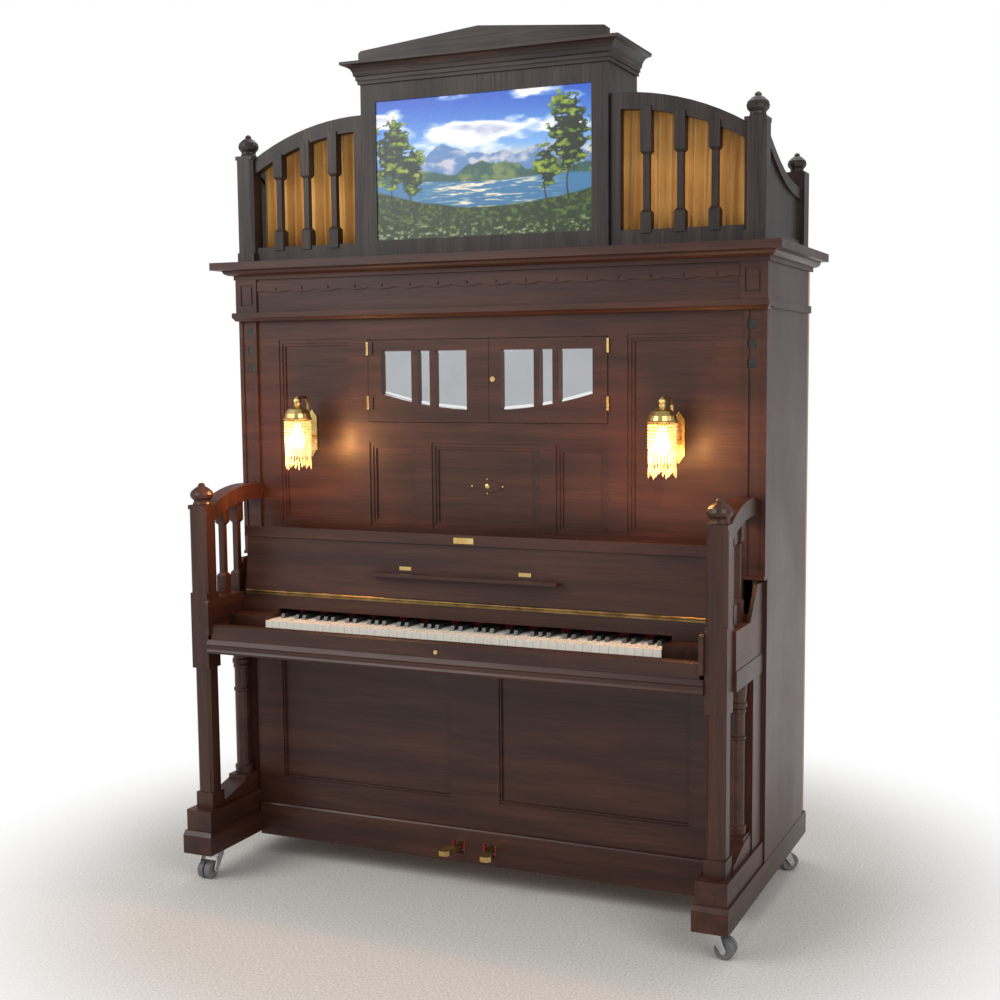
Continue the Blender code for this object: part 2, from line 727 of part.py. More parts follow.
def build_curtain(sign, side, cloth, bottom):
    """Cloth hung behind the spindles: its folds deepen towards the hem."""
    x0 = tower_half + 0.004
    x1 = gallery_post_x - side_panel_thickness - 0.006
    columns = curtain_folds * 8
    rows = 6
    points = []
    for face in (0, 1):
        for i in range(columns + 1):
            x = x0 + (x1 - x0) * i / columns
            top = arch_z(min(x, gallery_post_x - gallery_post_half)) - 0.006
            for j in range(rows + 1):
                drop = j / rows
                depth = curtain_fold * (0.45 + 0.55 * drop)
                wave = math.cos(2 * math.pi * curtain_folds * i / columns)
                drift = 0.25 * math.sin(5.0 * math.pi * i / columns)
                y = curtain_mid + depth * (0.8 * wave + drift) + face * curtain_thickness
                points.append((sign * x, front + y, top + (bottom - top) * drop))
    row = rows + 1
    half = (columns + 1) * row
    faces = []
    for i in range(columns):
        for j in range(rows):
            a = i * row + j
            faces.append((a, a + 1, a + row + 1, a + row))
            faces.append((half + a, half + a + row, half + a + row + 1, half + a + 1))
    for i in range(columns):
        for j in (0, rows):
            a = i * row + j
            faces.append((a, a + row, half + a + row, half + a))
    for i in (0, columns):
        for j in range(rows):
            a = i * row + j
            faces.append((a, a + 1, half + a + 1, half + a))
    piece("curtain_" + side, cloth, [(points, faces)])


def build_consoles(wood):
    """Posts with arm rails and spindles, cheeks with key blocks, feet with columns."""
    for sign, side in ((-1, "left"), (1, "right")):
        x, y, h, n = sign * post_x, post_y, post_half, post_narrow
        shells = [block(x - h, x + h, y - h, y + h, upper_plinth_top + GAP, post_waist_low),
                  chamfered_post(x, y, n, post_chamfer, post_waist_low - 0.005, post_waist_high + 0.005),
                  block(x - h, x + h, y - h, y + h, post_waist_high, post_square_high),
                  chamfered_post(x, y, h, post_chamfer, post_square_high - 0.005, post_top - 0.010),
                  block(x - h, x + h, y - h, y + h, post_top - 0.012, post_top),
                  turned(finial_profile(post_top - 0.004, finial_height + 0.004, finial_radius), x, y, 16)]
        steps = 8
        ya, yb = y + h - 0.006, -GAP
        upper = []
        for i in range(steps + 1):
            t = ya + (yb - ya) * i / steps
            upper.append((t, arm_peak - arm_sag * (t - arm_peak_y) ** 2))
        lower = [(t, z - arm_height) for t, z in reversed(upper)]
        shells.append(prism(upper + lower, "x", x - arm_half, x + arm_half))
        for t in arm_spindles:
            top = arm_peak - arm_sag * (t - arm_peak_y) ** 2 - arm_height + 0.012
            shells.append(flat_spindle(x, t, cheek_top + GAP, arm_block_low, arm_block_high, top))
        piece("console_" + side, wood, shells)

        inner, outer = well_half, wing_half
        thin = post_x - post_half - GAP
        nose = 0.012
        outline = [(-0.309, keybed_top + GAP), (0.0, keybed_top + GAP), (0.0, cheek_top),
                   (-0.309 + nose, cheek_top)]
        for i in range(1, 5):
            turn = math.pi / 2 * i / 4
            outline.append((-0.309 + nose - nose * math.sin(turn), cheek_top - nose + nose * math.cos(turn)))
        shells = [prism(outline, "x", *mirror_x(sign, inner, thin)),
                  sided(sign, inner, outer, post_y + post_half + GAP, facade_thickness,
                        keybed_top + GAP, cheek_top)]
        slope = [(-0.101, cheek_top - 0.010), (facade_thickness, cheek_top - 0.010),
                 (facade_thickness, pilaster_bottom - 0.0065 - GAP), (-0.035, pilaster_bottom - 0.0065 - GAP),
                 (-0.101, cheek_top + 0.004)]
        shells.append(prism(slope, "x", *mirror_x(sign, outer - 0.010, outer)))
        shells.append(sided(sign, keyboard_half + PLAY, inner + 0.005, -0.208, -0.010,
                            keybed_top + GAP, 0.758))
        piece("cheek_" + side, wood, shells)

        shells = [levels([(foot_bottom, *mirror_x(sign, foot_inner, foot_outer), -foot_reach, case_rear + back_depth),
                          (lower_plinth_top - 0.012, *mirror_x(sign, foot_inner, foot_outer),
                           -foot_reach, case_rear + back_depth),
                          (lower_plinth_top, *mirror_x(sign, foot_inner + 0.004, foot_outer - 0.001),
                           -foot_reach + 0.008, case_rear + back_depth)]),
                  sided(sign, plinth_inner, plinth_outer, -plinth_reach, facade_thickness - GAP,
                        lower_plinth_top - 0.006, upper_plinth_top)]
        cx, cy, ph = post_x, column_y, base_plate_half
        ramp = [(y + h + GAP, upper_plinth_top - 0.005), (wing_front - GAP, upper_plinth_top - 0.005),
                (wing_front - GAP, base_plate_top - 0.008), (cy - ph, base_plate_top - 0.010),
                (y + h + GAP, upper_plinth_top + 0.014)]
        shells.append(prism(ramp, "x", *mirror_x(sign, 0.720, 0.784)))
        shells.append(sided(sign, cx - 0.0295, cx + 0.0295, cy - ph - 0.010, cy + ph,
                            base_plate_top - 0.012, base_plate_top))
        shells.append(turned(column_profile(), sign * cx, cy, 16))
        piece("foot_" + side, wood, shells)


def column_profile():
    """Column: base rings, shaft, ring and capital."""
    r, low, top = column_radius, base_plate_top - 0.004, column_top
    ring = 0.0052
    return [(r + 0.004, low), (r + 0.004, low + 0.016), (r + ring, low + 0.018), (r + ring, low + 0.026),
            (r, low + 0.030), (r, 0.508), (r + 0.003, 0.511), (r + 0.003, 0.517), (r, 0.520),
            (r, 0.578), (r + 0.003, 0.580), (r + 0.003, 0.586), (r + 0.001, 0.589),
            (r + ring, 0.594), (r + ring, 0.604), (r + 0.002, 0.608), (r + ring, top - 0.020), (r + ring, top)]


def build_lower(wood):
    """Lower front, toe board, keybed, key slip with moulding."""
    y0 = lower_face
    half = wing_inner - GAP
    shell = block(-half, half, y0, y0 + lower_thickness, toe_top + GAP, keybed_bottom - GAP)
    cuts = []
    for sign in (-1, 1):
        x0, x1 = mirror_x(sign, lower_panel_inner, lower_panel_outer)
        cuts.append(block(x0, x1, y0 - 0.05, y0 + 0.004, lower_panel_bottom, lower_panel_top))
        s = 0.006
        cuts.append(block(x0 + s, x1 - s, y0 - 0.05, y0 + 0.010, lower_panel_bottom + s, lower_panel_top - s))
    piece("lower_front", wood, [shell], cuts)

    y0 = toe_face
    half = foot_inner - GAP
    shell = levels([(toe_bottom, -half, half, y0, y0 + 0.020), (toe_top - 0.004, -half, half, y0, y0 + 0.020),
                    (toe_top, -half, half, y0 + 0.003, y0 + 0.020)])
    cuts = [sided(sign, pedal_x - pedal_slot_width / 2, pedal_x + pedal_slot_width / 2,
                  y0 - 0.02, y0 + 0.04, pedal_slot_low, pedal_slot_high) for sign in (-1, 1)]
    piece("toe_board", wood, [shell], cuts)

    inner = case_half_width - side_thickness - GAP
    post_rear = post_y + post_half + GAP
    slip_rear = slip_face + slip_thickness + GAP
    post_inner = post_x - post_half - GAP
    outline = [(-post_inner, slip_rear), (post_inner, slip_rear), (post_inner, post_rear),
               (wing_half + 0.002, post_rear), (wing_half + 0.002, facade_thickness),
               (inner, facade_thickness), (inner, 0.200), (-inner, 0.200), (-inner, facade_thickness),
               (-wing_half - 0.002, facade_thickness), (-wing_half - 0.002, post_rear), (-post_inner, post_rear)]
    ridge = block(-keyboard_half + 0.002, keyboard_half - 0.002, balance_y - 0.003, balance_y + 0.003,
                  keybed_top - 0.004, key_stick_bottom - GAP)
    piece("keybed", wood, [prism(outline, "z", keybed_bottom, keybed_top), ridge])

    half = post_inner - 0.001
    slip = [(slip_face, moulding_top - 0.002), (slip_face + slip_thickness, moulding_top - 0.002),
            (slip_face + slip_thickness, slip_top), (slip_face + 0.006, slip_top), (slip_face, slip_top - 0.005)]
    m = moulding_face
    moulding = [(m, keybed_bottom + 0.004), (m + 0.004, keybed_bottom - 0.002),
                (slip_face + slip_thickness, keybed_bottom - 0.002), (slip_face + slip_thickness, moulding_top),
                (m + 0.008, moulding_top), (m + 0.004, moulding_top - 0.006), (m, moulding_top - 0.012),
                (m + 0.003, moulding_top - 0.016), (m + 0.003, keybed_bottom + 0.010)]
    piece("key_slip", wood, [prism(slip, "x", -well_half + GAP, well_half - GAP),
                             prism(moulding, "x", -half, half)])


def build_lid(wood, brass):
    """Nameboard with shelf and lid rests, hinge, lid and music ledge."""
    y0 = hinge_y + 0.001
    low = 0.758 + GAP
    half = well_half - GAP
    shells = [block(-half, half, y0, y0 + name_thickness, name_bottom, hinge_z - 0.006),
              sided(-1, keyboard_half + 0.004, well_half - GAP, y0, y0 + name_thickness, low, name_bottom + 0.01),
              sided(1, keyboard_half + 0.004, well_half - GAP, y0, y0 + name_thickness, low, name_bottom + 0.01),
              block(-half, half, y0 + 0.006, panel_face - 0.0006, hinge_z - 0.018, hinge_z - 0.006)]
    lean = math.tan(lid_lean)
    back = hinge_y + lid_thickness / math.cos(lid_lean) + 0.0006
    for sign in (-1, 1):
        z0, z1 = hinge_z - 0.010, hinge_z + 0.140
        face0, face1 = back + lean * (z0 - hinge_z), back + lean * (z1 - hinge_z)
        shells.append(prism([(face0, z0), (-0.060, z0), (-0.060, z1 - 0.030), (face1, z1)], "x",
                            *mirror_x(sign, 0.640, 0.665)))
    piece("nameboard", wood, shells)

    barrel = turned([(hinge_radius, -lid_half), (hinge_radius, lid_half)], hinge_y, hinge_z, 12, "x")
    leaf = block(-lid_half, lid_half, hinge_y - 0.0022, hinge_y + 0.0007, hinge_z - hinge_leaf, hinge_z)
    piece("lid_hinge", brass, [barrel, leaf])

    pivot = (0, front + hinge_y, hinge_z)
    low = hinge_z + hinge_radius + PLAY
    top = hinge_z + lid_length
    board = block(-lid_half, lid_half, hinge_y, hinge_y + lid_thickness, low, top - 0.004)
    rail = block(-lid_half - 0.006, lid_half + 0.006, hinge_y - lid_rail_depth, hinge_y + lid_thickness - 0.001,
                 top - lid_rail_height, top)
    turn = (Matrix.Translation(Vector(pivot)) @ Matrix.Rotation(-lid_lean, 4, "X")
            @ Matrix.Translation(-Vector(pivot)))
    piece("lid", wood, [board, rail], pivot=pivot, turn=turn)

    knuckle_y = hinge_y - ledge_knuckle - PLAY
    knuckle_z = hinge_z + ledge_height + ledge_thickness / 2
    shells = [block(-ledge_half, ledge_half, knuckle_y - ledge_depth, knuckle_y - 0.0005,
                    knuckle_z - ledge_thickness / 2, knuckle_z + ledge_thickness / 2)]
    for x in (-0.184, 0.184):
        shells.append(turned([(ledge_knuckle, x - 0.018), (ledge_knuckle, x + 0.018)],
                             knuckle_y, knuckle_z, 10, "x"))
    spot = turn @ Vector((0, front + knuckle_y, knuckle_z))
    piece("music_ledge", wood, shells, pivot=tuple(spot), turn=turn)


def white_x(index):
    """Left edge of a white key."""
    return -keyboard_half + index * white_pitch


def black_slots():
    """White keys, counted from the low A, that have a black key at their right edge."""
    letters = "ABCDEFG"
    return [i for i in range(white_count - 1) if letters[i % 7] in "ACDFG"]


def white_key(index, blacks, moving):
    """Shells of a white key: wide head, tail between the blacks, stick where it moves."""
    x0 = white_x(index) + key_gap / 2
    x1 = white_x(index + 1) - key_gap / 2
    notch = black_width / 2 + PLAY
    t0 = white_x(index) + notch if index - 1 in blacks else x0
    t1 = white_x(index + 1) - notch if index in blacks else x1
    low = white_top - white_height
    neck = key_front + key_head - PLAY
    end = key_tail_end - 0.012 if moving else key_tail_end
    outline = [(x0, key_front), (x1, key_front), (x1, neck), (t1, neck), (t1, end), (t0, end), (t0, neck), (x0, neck)]
    outline = [p for i, p in enumerate(outline) if p != outline[i - 1]]
    shells = [prism(outline, "z", low, white_top)]
    if moving:
        mid = (t0 + t1) / 2
        shells.append(block(mid - stick_width / 2, mid + stick_width / 2, end - 0.020, key_stick_end,
                            key_stick_bottom, white_top - 0.0005))
    return shells


def black_key(index, moving):
    """Shells of a black key with a sloped front."""
    x = white_x(index + 1)
    h = black_width / 2
    low, top = white_top - 0.012, white_top + black_rise
    end = key_tail_end if moving else key_tail_end + 0.030
    outline = [(black_front, low), (end, low), (end, top), (black_front + 0.007, top), (black_front + 0.001, white_top)]
    shells = [prism(outline, "x", x - h, x + h)]
    if moving:
        shells.append(block(x - stick_width / 2, x + stick_width / 2, end - 0.010, key_stick_end,
                            key_stick_bottom, white_top - 0.002))
    return shells


def build_keys(ivory, ebony):
    """Fixed rows of keys, each joined by a hidden rail, and five keys that move."""
    blacks = black_slots()
    moving_white = {23: "key_c", 24: "key_d", 25: "key_e"}
    moving_black = {23: "key_c_sharp", 24: "key_d_sharp"}
    pivot = (0, front + balance_y, key_stick_bottom - GAP / 2)
    low = keybed_top + GAP
    whites = [block(-keyboard_half + 0.002, keyboard_half - 0.002, key_tail_end - 0.008, key_tail_end + 0.040,
                    low, low + key_rail_height)]
    for i in range(white_count):
        if i in moving_white:
            name = moving_white[i]
            x = (white_x(i) + white_x(i + 1)) / 2
            piece(name, ivory, white_key(i, blacks, True), pivot=(x, pivot[1], pivot[2]))
        else:
            whites += white_key(i, blacks, False)
    piece("white_keys", ivory, whites)
    rail_low = white_top + black_rail_low
    rows = [block(white_x(blacks[0] + 1), white_x(blacks[-1] + 1), key_tail_end + 0.004, key_tail_end + 0.028,
                  rail_low, rail_low + black_rail_rise - 0.001)]
    for i in blacks:
        if i in moving_black:
            piece(moving_black[i], ebony, black_key(i, True), pivot=(white_x(i + 1), pivot[1], pivot[2]))
        else:
            rows += black_key(i, False)
    piece("black_keys", ebony, rows)


def build_pedals(brass):
    """Two pedals, splayed outward, each on a pivot behind the toe board."""
    for sign, side in ((-1, "left"), (1, "right")):
        x = sign * pedal_x
        tip = sign * (pedal_x + 0.015)
        z = 0.118
        yb, yf = toe_face + 0.090, toe_face - 0.072
        t = 0.007
        bar = [(x - 0.009, yb), (x + 0.009, yb), (x + 0.011, toe_face - 0.004), (tip + 0.017, yf + 0.022),
               (tip + 0.018, yf + 0.010), (tip + 0.010, yf), (tip - 0.010, yf), (tip - 0.018, yf + 0.010),
               (tip - 0.017, yf + 0.022), (x - 0.011, toe_face - 0.004)]
        shells = [prism(bar, "z", z - t, z + t)]
        shells.append(turned([(0.011, x - 0.014), (0.011, x + 0.014)], yb - 0.006, z, 14, "x"))
        piece("pedal_" + side, brass, shells, pivot=(x, front + yb - 0.006, z))


def build_lamps(brass, glass):
    """Wall lamps: hexagonal back plate, curled arm, dome, fringe and bulb."""
    wall = panel_face + 0.010
    for sign, side in ((-1, "left"), (1, "right")):
        x, px = sign * lamp_x, sign * plate_x
        plate = [(px, 1.200), (px + 0.016, 1.222), (px + 0.016, 1.316), (px, 1.338), (px - 0.016, 1.316),
                 (px - 0.016, 1.222)]
        y0 = wall - 0.0045
        top = dome_bottom + dome_height
        route = []
        arc = [(y0 + 0.001, 1.262), (y0 - 0.020, 1.256), (y0 - 0.034, 1.272), (y0 - 0.034, 1.300),
               (y0 - 0.030, 1.330), (y0 - 0.032, 1.356), (y0 - 0.046, 1.374), (lamp_y + 0.024, 1.376),
               (lamp_y + 0.008, 1.368), (lamp_y, 1.356), (lamp_y, top - 0.004)]
        for i, (ya, za) in enumerate(arc):
            part = min(1.0, i / (len(arc) - 3))
            route.append((px + (x - px) * part, ya, za))
        r = dome_radius
        dome = [(r + 0.003, dome_bottom), (r + 0.003, dome_bottom + 0.004), (r, dome_bottom + 0.006),
                (r * 0.94, dome_bottom + 0.018), (r * 0.72, dome_bottom + 0.030),
                (r * 0.36, top - 0.002), (0.009, top), (0.009, top + 0.008), (0.012, top + 0.013),
                (0.010, top + 0.019), (0.004, top + lamp_finial)]
        socket = [(0.013, dome_bottom - 0.010), (0.013, dome_bottom + 0.012)]
        shells = [prism(plate, "y", y0, wall - GAP), tube(route, arm_radius),
                  turned(dome, x, lamp_y, 20), turned(socket, x, lamp_y, 12)]
        piece("sconce_" + side, brass, shells)
        low = dome_bottom - fringe_length
        outer, inner = r, r - 0.005
        high = dome_bottom - GAP
        points, faces = turned([(outer, low + 0.012), (outer, high)], x, lamp_y, 24)
        bore, bore_faces = turned([(inner, low - 0.03), (inner, high + 0.03)], x, lamp_y, 24)
        notch = []
        for i in range(12):
            turn = 2 * math.pi * (i + 0.5) / 12
            dx, dy = r * math.cos(turn), r * math.sin(turn)
            notch.append(turned([(0.0065, low + 0.002), (0.0055, low + 0.016), (0.0005, low + 0.034)],
                                x + dx, lamp_y + dy, 6))
        piece("fringe_" + side, glass["rods"], [(points, faces)], [(bore, bore_faces)] + notch)
        bulb = [(0.010, dome_bottom - 0.010 - GAP), (0.012, dome_bottom - 0.022), (0.022, dome_bottom - 0.045),
                (0.024, dome_bottom - 0.060), (0.018, dome_bottom - 0.076), (0.006, dome_bottom - 0.084)]
        piece("bulb_" + side, glass["bulb"], [turned(bulb, x, lamp_y, 12)])


def build_casters(steel, rubber):
    """Four swivel casters with twin wheels."""
    places = {"front_left": (-post_x, caster_front_y, -90), "front_right": (post_x, caster_front_y, 0),
              "rear_left": (-post_x, caster_rear_y, 110), "rear_right": (post_x, caster_rear_y, 40)}
    for name, (x, y, heading) in places.items():
        turn = (Matrix.Translation((x, front + y, 0)) @ Matrix.Rotation(math.radians(heading), 4, "Z")
                @ Matrix.Translation((0, -front, 0)))
        r, w = wheel_radius, wheel_width / 2
        plate = block(-0.030, 0.030, -0.030, 0.030, foot_bottom - GAP - 0.004, foot_bottom - GAP)
        crown_block = block(-0.014, 0.014, -fork_width / 2, fork_width / 2, 0.060, foot_bottom - 0.003)
        shells = [plate, crown_block]
        for s in (-1, 1):
            y0, y1 = sorted((s * (fork_width / 2 - fork_thickness), s * fork_width / 2))
            cheek = [(-0.014, 0.064), (0.014, 0.064), (caster_offset + 0.008, r + 0.002),
                     (caster_offset + 0.004, r - 0.007), (caster_offset - 0.004, r - 0.007), (caster_offset - 0.009, r + 0.002)]
            shells.append(prism([(a, b) for a, b in cheek], "y", y0, y1))
        shells.append(turned([(axle_radius, -fork_width / 2 - 0.003), (axle_radius, fork_width / 2 + 0.003)],
                             caster_offset, r, 10, "y"))
        pivot = Vector((x, front + y, 0))
        piece("fork_" + name, steel, shells, pivot=tuple(pivot), turn=turn)
        wheel = [(r * 0.5, -w), (r - 0.003, -w), (r, -w + 0.003), (r, -0.003), (r * 0.62, -0.002),
                 (r * 0.62, 0.002), (r, 0.003), (r, w - 0.003), (r - 0.003, w), (r * 0.5, w)]
        hub = turned([(axle_radius + PLAY, -w - 0.02), (axle_radius + PLAY, w + 0.02)], caster_offset, r, 12, "y")
        centre = turn @ Vector((caster_offset, front, r))
        piece("wheel_" + name, rubber, [turned(wheel, caster_offset, r, 24, "y")], [hub],
              pivot=tuple(centre), turn=turn)


def main():
    remove_old_objects()
    wood = make_material("dark_wood", (0.060, 0.022, 0.015), 0.42)
    dark = make_material("gallery_wood", (0.042, 0.026, 0.022), 0.50)
    pale = make_material("pale_wood", (0.450, 0.270, 0.140), 0.60)
    brass = make_material("brass", (0.620, 0.430, 0.160), 0.30, 1.0)
    steel = make_material("steel", (0.600, 0.600, 0.600), 0.30, 1.0)
    iron = make_material("iron", (0.350, 0.250, 0.120), 0.50, 0.8)
    rubber = make_material("rubber", (0.060, 0.060, 0.065), 0.55)
    cloth = make_material("amber_cloth", (0.460, 0.200, 0.035), 0.90)
    mirror = make_material("mirror", (0.900, 0.900, 0.900), 0.05, 1.0)
    picture = make_material("painted_glass", (0.200, 0.420, 0.700), 0.30)
    ivory = make_material("ivory", (0.800, 0.760, 0.660), 0.35)
    ebony = make_material("ebony", (0.010, 0.010, 0.010), 0.30)
    plastic = make_material("black_plastic", (0.020, 0.020, 0.020), 0.45)
    lamp_glass = {"rods": make_material("glass_rods", (0.900, 0.600, 0.250), 0.20),
                  "bulb": make_material("bulb_glass", (1.000, 0.800, 0.500), 0.30)}
    build_case(wood, pale, iron, plastic)
    build_interior(pale, steel, pale)
    build_upper_front(wood, mirror)
    build_cornices(wood, dark)
    build_tower(dark, picture)
    build_galleries(dark, cloth)
    build_consoles(wood)
    build_lower(wood)
    build_lid(wood, brass)
    build_keys(ivory, ebony)
    build_pedals(brass)
    build_lamps(brass, lamp_glass)
    build_casters(steel, rubber)


main()
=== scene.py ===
# Looks of the orchestrion: finishes, cloth, lamp fringes, painted glass, fittings.
# Metres, +X right, +Y to the back, +Z up.
import bpy
import json
import math
import numpy as np
from mathutils import Matrix, Vector


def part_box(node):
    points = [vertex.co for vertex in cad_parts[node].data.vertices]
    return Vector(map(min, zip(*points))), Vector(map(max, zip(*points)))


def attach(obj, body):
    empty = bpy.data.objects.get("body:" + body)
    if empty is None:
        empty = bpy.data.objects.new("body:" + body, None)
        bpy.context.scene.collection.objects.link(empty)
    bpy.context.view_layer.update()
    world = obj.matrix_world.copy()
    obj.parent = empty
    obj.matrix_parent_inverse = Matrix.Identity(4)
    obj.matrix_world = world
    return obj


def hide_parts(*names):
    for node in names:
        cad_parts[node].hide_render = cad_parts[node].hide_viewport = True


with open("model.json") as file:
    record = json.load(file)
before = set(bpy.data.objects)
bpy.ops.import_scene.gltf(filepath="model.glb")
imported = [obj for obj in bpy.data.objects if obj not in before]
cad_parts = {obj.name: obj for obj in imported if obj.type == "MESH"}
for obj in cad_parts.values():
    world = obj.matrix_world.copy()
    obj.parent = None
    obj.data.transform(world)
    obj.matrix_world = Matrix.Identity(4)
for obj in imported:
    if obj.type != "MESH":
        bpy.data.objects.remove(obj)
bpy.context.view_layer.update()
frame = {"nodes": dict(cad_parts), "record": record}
nodes = frame["nodes"]


# Woods of the case.
# One recipe: noise stretched along the grain for the figure and the pores, and cloudy
# patches that change both the tone and the gloss.
def new_material(name):
    """An empty Principled material, with its nodes and links."""
    material = bpy.data.materials.new(name)
    material.use_nodes = True
    return material, material.node_tree.nodes, material.node_tree.links


def mapped(tree_nodes, links, scale):
    """Object coordinates, stretched by a scale."""
    coords = tree_nodes.new("ShaderNodeTexCoord")
    mapping = tree_nodes.new("ShaderNodeMapping")
    mapping.inputs["Scale"].default_value = scale
    links.new(coords.outputs["Object"], mapping.inputs["Vector"])
    return mapping.outputs["Vector"]


def noise(tree_nodes, links, vector, scale, detail=4.0, rough=0.55):
    """A noise texture's factor."""
    texture = tree_nodes.new("ShaderNodeTexNoise")
    texture.inputs["Scale"].default_value = scale
    texture.inputs["Detail"].default_value = detail
    texture.inputs["Roughness"].default_value = rough
    links.new(vector, texture.inputs["Vector"])
    return texture.outputs["Fac"]


def ramp(tree_nodes, links, factor, stops):
    """Colours placed along a factor: stops are (position, colour)."""
    made = tree_nodes.new("ShaderNodeValToRGB")
    while len(made.color_ramp.elements) < len(stops):
        made.color_ramp.elements.new(0.5)
    for element, (position, colour) in zip(made.color_ramp.elements, stops):
        element.position = position
        element.color = (*colour, 1.0)
    links.new(factor, made.inputs["Fac"])
    return made.outputs["Color"]


def spread(tree_nodes, links, factor, low, high):
    """A factor from 0.3 to 0.7 spread over low to high."""
    made = tree_nodes.new("ShaderNodeMapRange")
    made.inputs["From Min"].default_value = 0.3
    made.inputs["From Max"].default_value = 0.7
    made.inputs["To Min"].default_value = low
    made.inputs["To Max"].default_value = high
    links.new(factor, made.inputs["Value"])
    return made.outputs["Result"]


def bump(tree_nodes, links, height, shader, strength, distance=0.001):
    """Relief on a shader's normal."""
    made = tree_nodes.new("ShaderNodeBump")
    made.inputs["Strength"].default_value = strength
    made.inputs["Distance"].default_value = distance
    links.new(height, made.inputs["Height"])
    links.new(made.outputs["Normal"], shader.inputs["Normal"])


def wood(name, axis, dark, mid, light, pore=0.22, rough=(0.34, 0.50), coat=0.10):
    """Stained wood with its grain along an axis (0, 1 or 2)."""
    material, n, links = new_material(name)
    shader = n["Principled BSDF"]
    scale = [14.0, 14.0, 14.0]
    scale[axis] = 1.1
    fine = [150.0, 150.0, 150.0]
    fine[axis] = 5.0
    figure = noise(n, links, mapped(n, links, scale), 1.6, 6.0, 0.6)
    pores = noise(n, links, mapped(n, links, fine), 1.5, 3.0, 0.6)
    cloud = noise(n, links, mapped(n, links, (2.2, 2.2, 2.2)), 1.0, 3.0)
    base = ramp(n, links, figure, ((0.32, dark), (0.50, mid), (0.68, light)))
    grain = ramp(n, links, pores, ((0.36, (0.35, 0.35, 0.35)), (0.52, (1.0, 1.0, 1.0))))
    tone = ramp(n, links, cloud, ((0.3, (0.72, 0.72, 0.74)), (0.7, (1.12, 1.08, 1.05))))
    for colour, share in ((grain, pore * 2.0), (tone, 0.8)):
        mix = n.new("ShaderNodeMix")
        mix.data_type = "RGBA"
        mix.blend_type = "MULTIPLY"
        mix.inputs["Factor"].default_value = min(1.0, share)
        links.new(base, mix.inputs["A"])
        links.new(colour, mix.inputs["B"])
        base = mix.outputs["Result"]
    links.new(base, shader.inputs["Base Color"])
    links.new(spread(n, links, cloud, *rough), shader.inputs["Roughness"])
    shader.inputs["Specular IOR Level"].default_value = 0.32
    shader.inputs["Coat Weight"].default_value = coat
    shader.inputs["Coat Roughness"].default_value = 0.25
    bump(n, links, pores, shader, 0.18)
    return material


CASE_TONES = ((0.025, 0.0072, 0.0034), (0.043, 0.0128, 0.0062), (0.066, 0.0215, 0.0100))
OAK_TONES = ((0.012, 0.0070, 0.0055), (0.026, 0.0150, 0.0115), (0.048, 0.0300, 0.0230))
PALE_TONES = ((0.30, 0.17, 0.085), (0.42, 0.26, 0.14), (0.52, 0.35, 0.20))
case_wood = [wood("case_wood_%d" % axis, axis, *CASE_TONES) for axis in range(3)]
oak = [wood("oak_%d" % axis, axis, *OAK_TONES, pore=0.5, coat=0.05, rough=(0.38, 0.58))
       for axis in range(3)]
pale_wood = [wood("pale_%d" % axis, axis, *PALE_TONES, pore=0.15, coat=0.0, rough=(0.5, 0.7))
             for axis in range(3)]
upright = ("case_side_left", "case_side_right", "console_left", "console_right", "gallery_left",
           "gallery_right", "back_frame", "picture_box")
lengthwise = ("foot_left", "foot_right", "cheek_left", "cheek_right")


def grain_axis(name):
    """The way the grain runs in a wooden node."""
    if name in upright:
        return 2
    return 1 if name in lengthwise else 0


# Metals, rubber, keys and glass.
# Each is two close tones in patches that change the gloss too, over a fine relief. Every
# solid then gets the finish of its slot, and wood runs its grain along the board.
def plain(name, colour, other, rough, metallic=0.0, scale=30.0, stretch=(1, 1, 1), relief=0.05, glow=None):
    """A finish of two close colours in patches, with varied roughness and relief."""
    material, n, links = new_material(name)
    shader = n["Principled BSDF"]
    vector = mapped(n, links, stretch)
    patches = noise(n, links, vector, scale, 5.0, 0.6)
    fine = noise(n, links, vector, scale * 14.0, 3.0, 0.5)
    links.new(ramp(n, links, patches, ((0.35, colour), (0.68, other))), shader.inputs["Base Color"])
    links.new(spread(n, links, patches, *rough), shader.inputs["Roughness"])
    shader.inputs["Metallic"].default_value = metallic
    bump(n, links, fine, shader, relief)
    if glow:
        shader.inputs["Emission Color"].default_value = (*glow[0], 1.0)
        shader.inputs["Emission Strength"].default_value = glow[1]
    return material


brass = plain("brass_aged", (0.55, 0.36, 0.11), (0.72, 0.52, 0.22), (0.18, 0.38), 1.0, 22.0)
# Painted shade: the lid hinge's brass is made far darker than brass, for the shadow that falls on the
# hinge.
shaded_hinge_brass = plain("brass_painted_shade", (0.13, 0.075, 0.028), (0.30, 0.19, 0.07), (0.30, 0.50), 1.0, 26.0)
steel = plain("steel_plated", (0.50, 0.50, 0.50), (0.66, 0.66, 0.67), (0.22, 0.40), 1.0, 30.0, (1, 6, 1))
iron = plain("bronzed_iron", (0.26, 0.18, 0.08), (0.36, 0.26, 0.12), (0.45, 0.65), 0.7, 18.0,
             relief=0.25)
rubber = plain("wheel_rubber", (0.105, 0.106, 0.110), (0.17, 0.171, 0.176), (0.45, 0.65), 0.0, 40.0,
               relief=0.12)
ivory = plain("key_ivory", (0.78, 0.74, 0.64), (0.84, 0.80, 0.71), (0.22, 0.36), 0.0, 25.0,
              (4, 1, 1), 0.02)
ebony = plain("key_ebony", (0.008, 0.008, 0.008), (0.020, 0.018, 0.017), (0.22, 0.40), 0.0, 30.0,
              (4, 1, 1), 0.04)
plastic = plain("inlet_plastic", (0.018, 0.018, 0.018), (0.026, 0.026, 0.026), (0.40, 0.55), 0.0, 60.0,
                relief=0.1)
felt = plain("red_felt", (0.33, 0.012, 0.015), (0.45, 0.03, 0.03), (0.85, 0.98), 0.0, 90.0, relief=0.6)
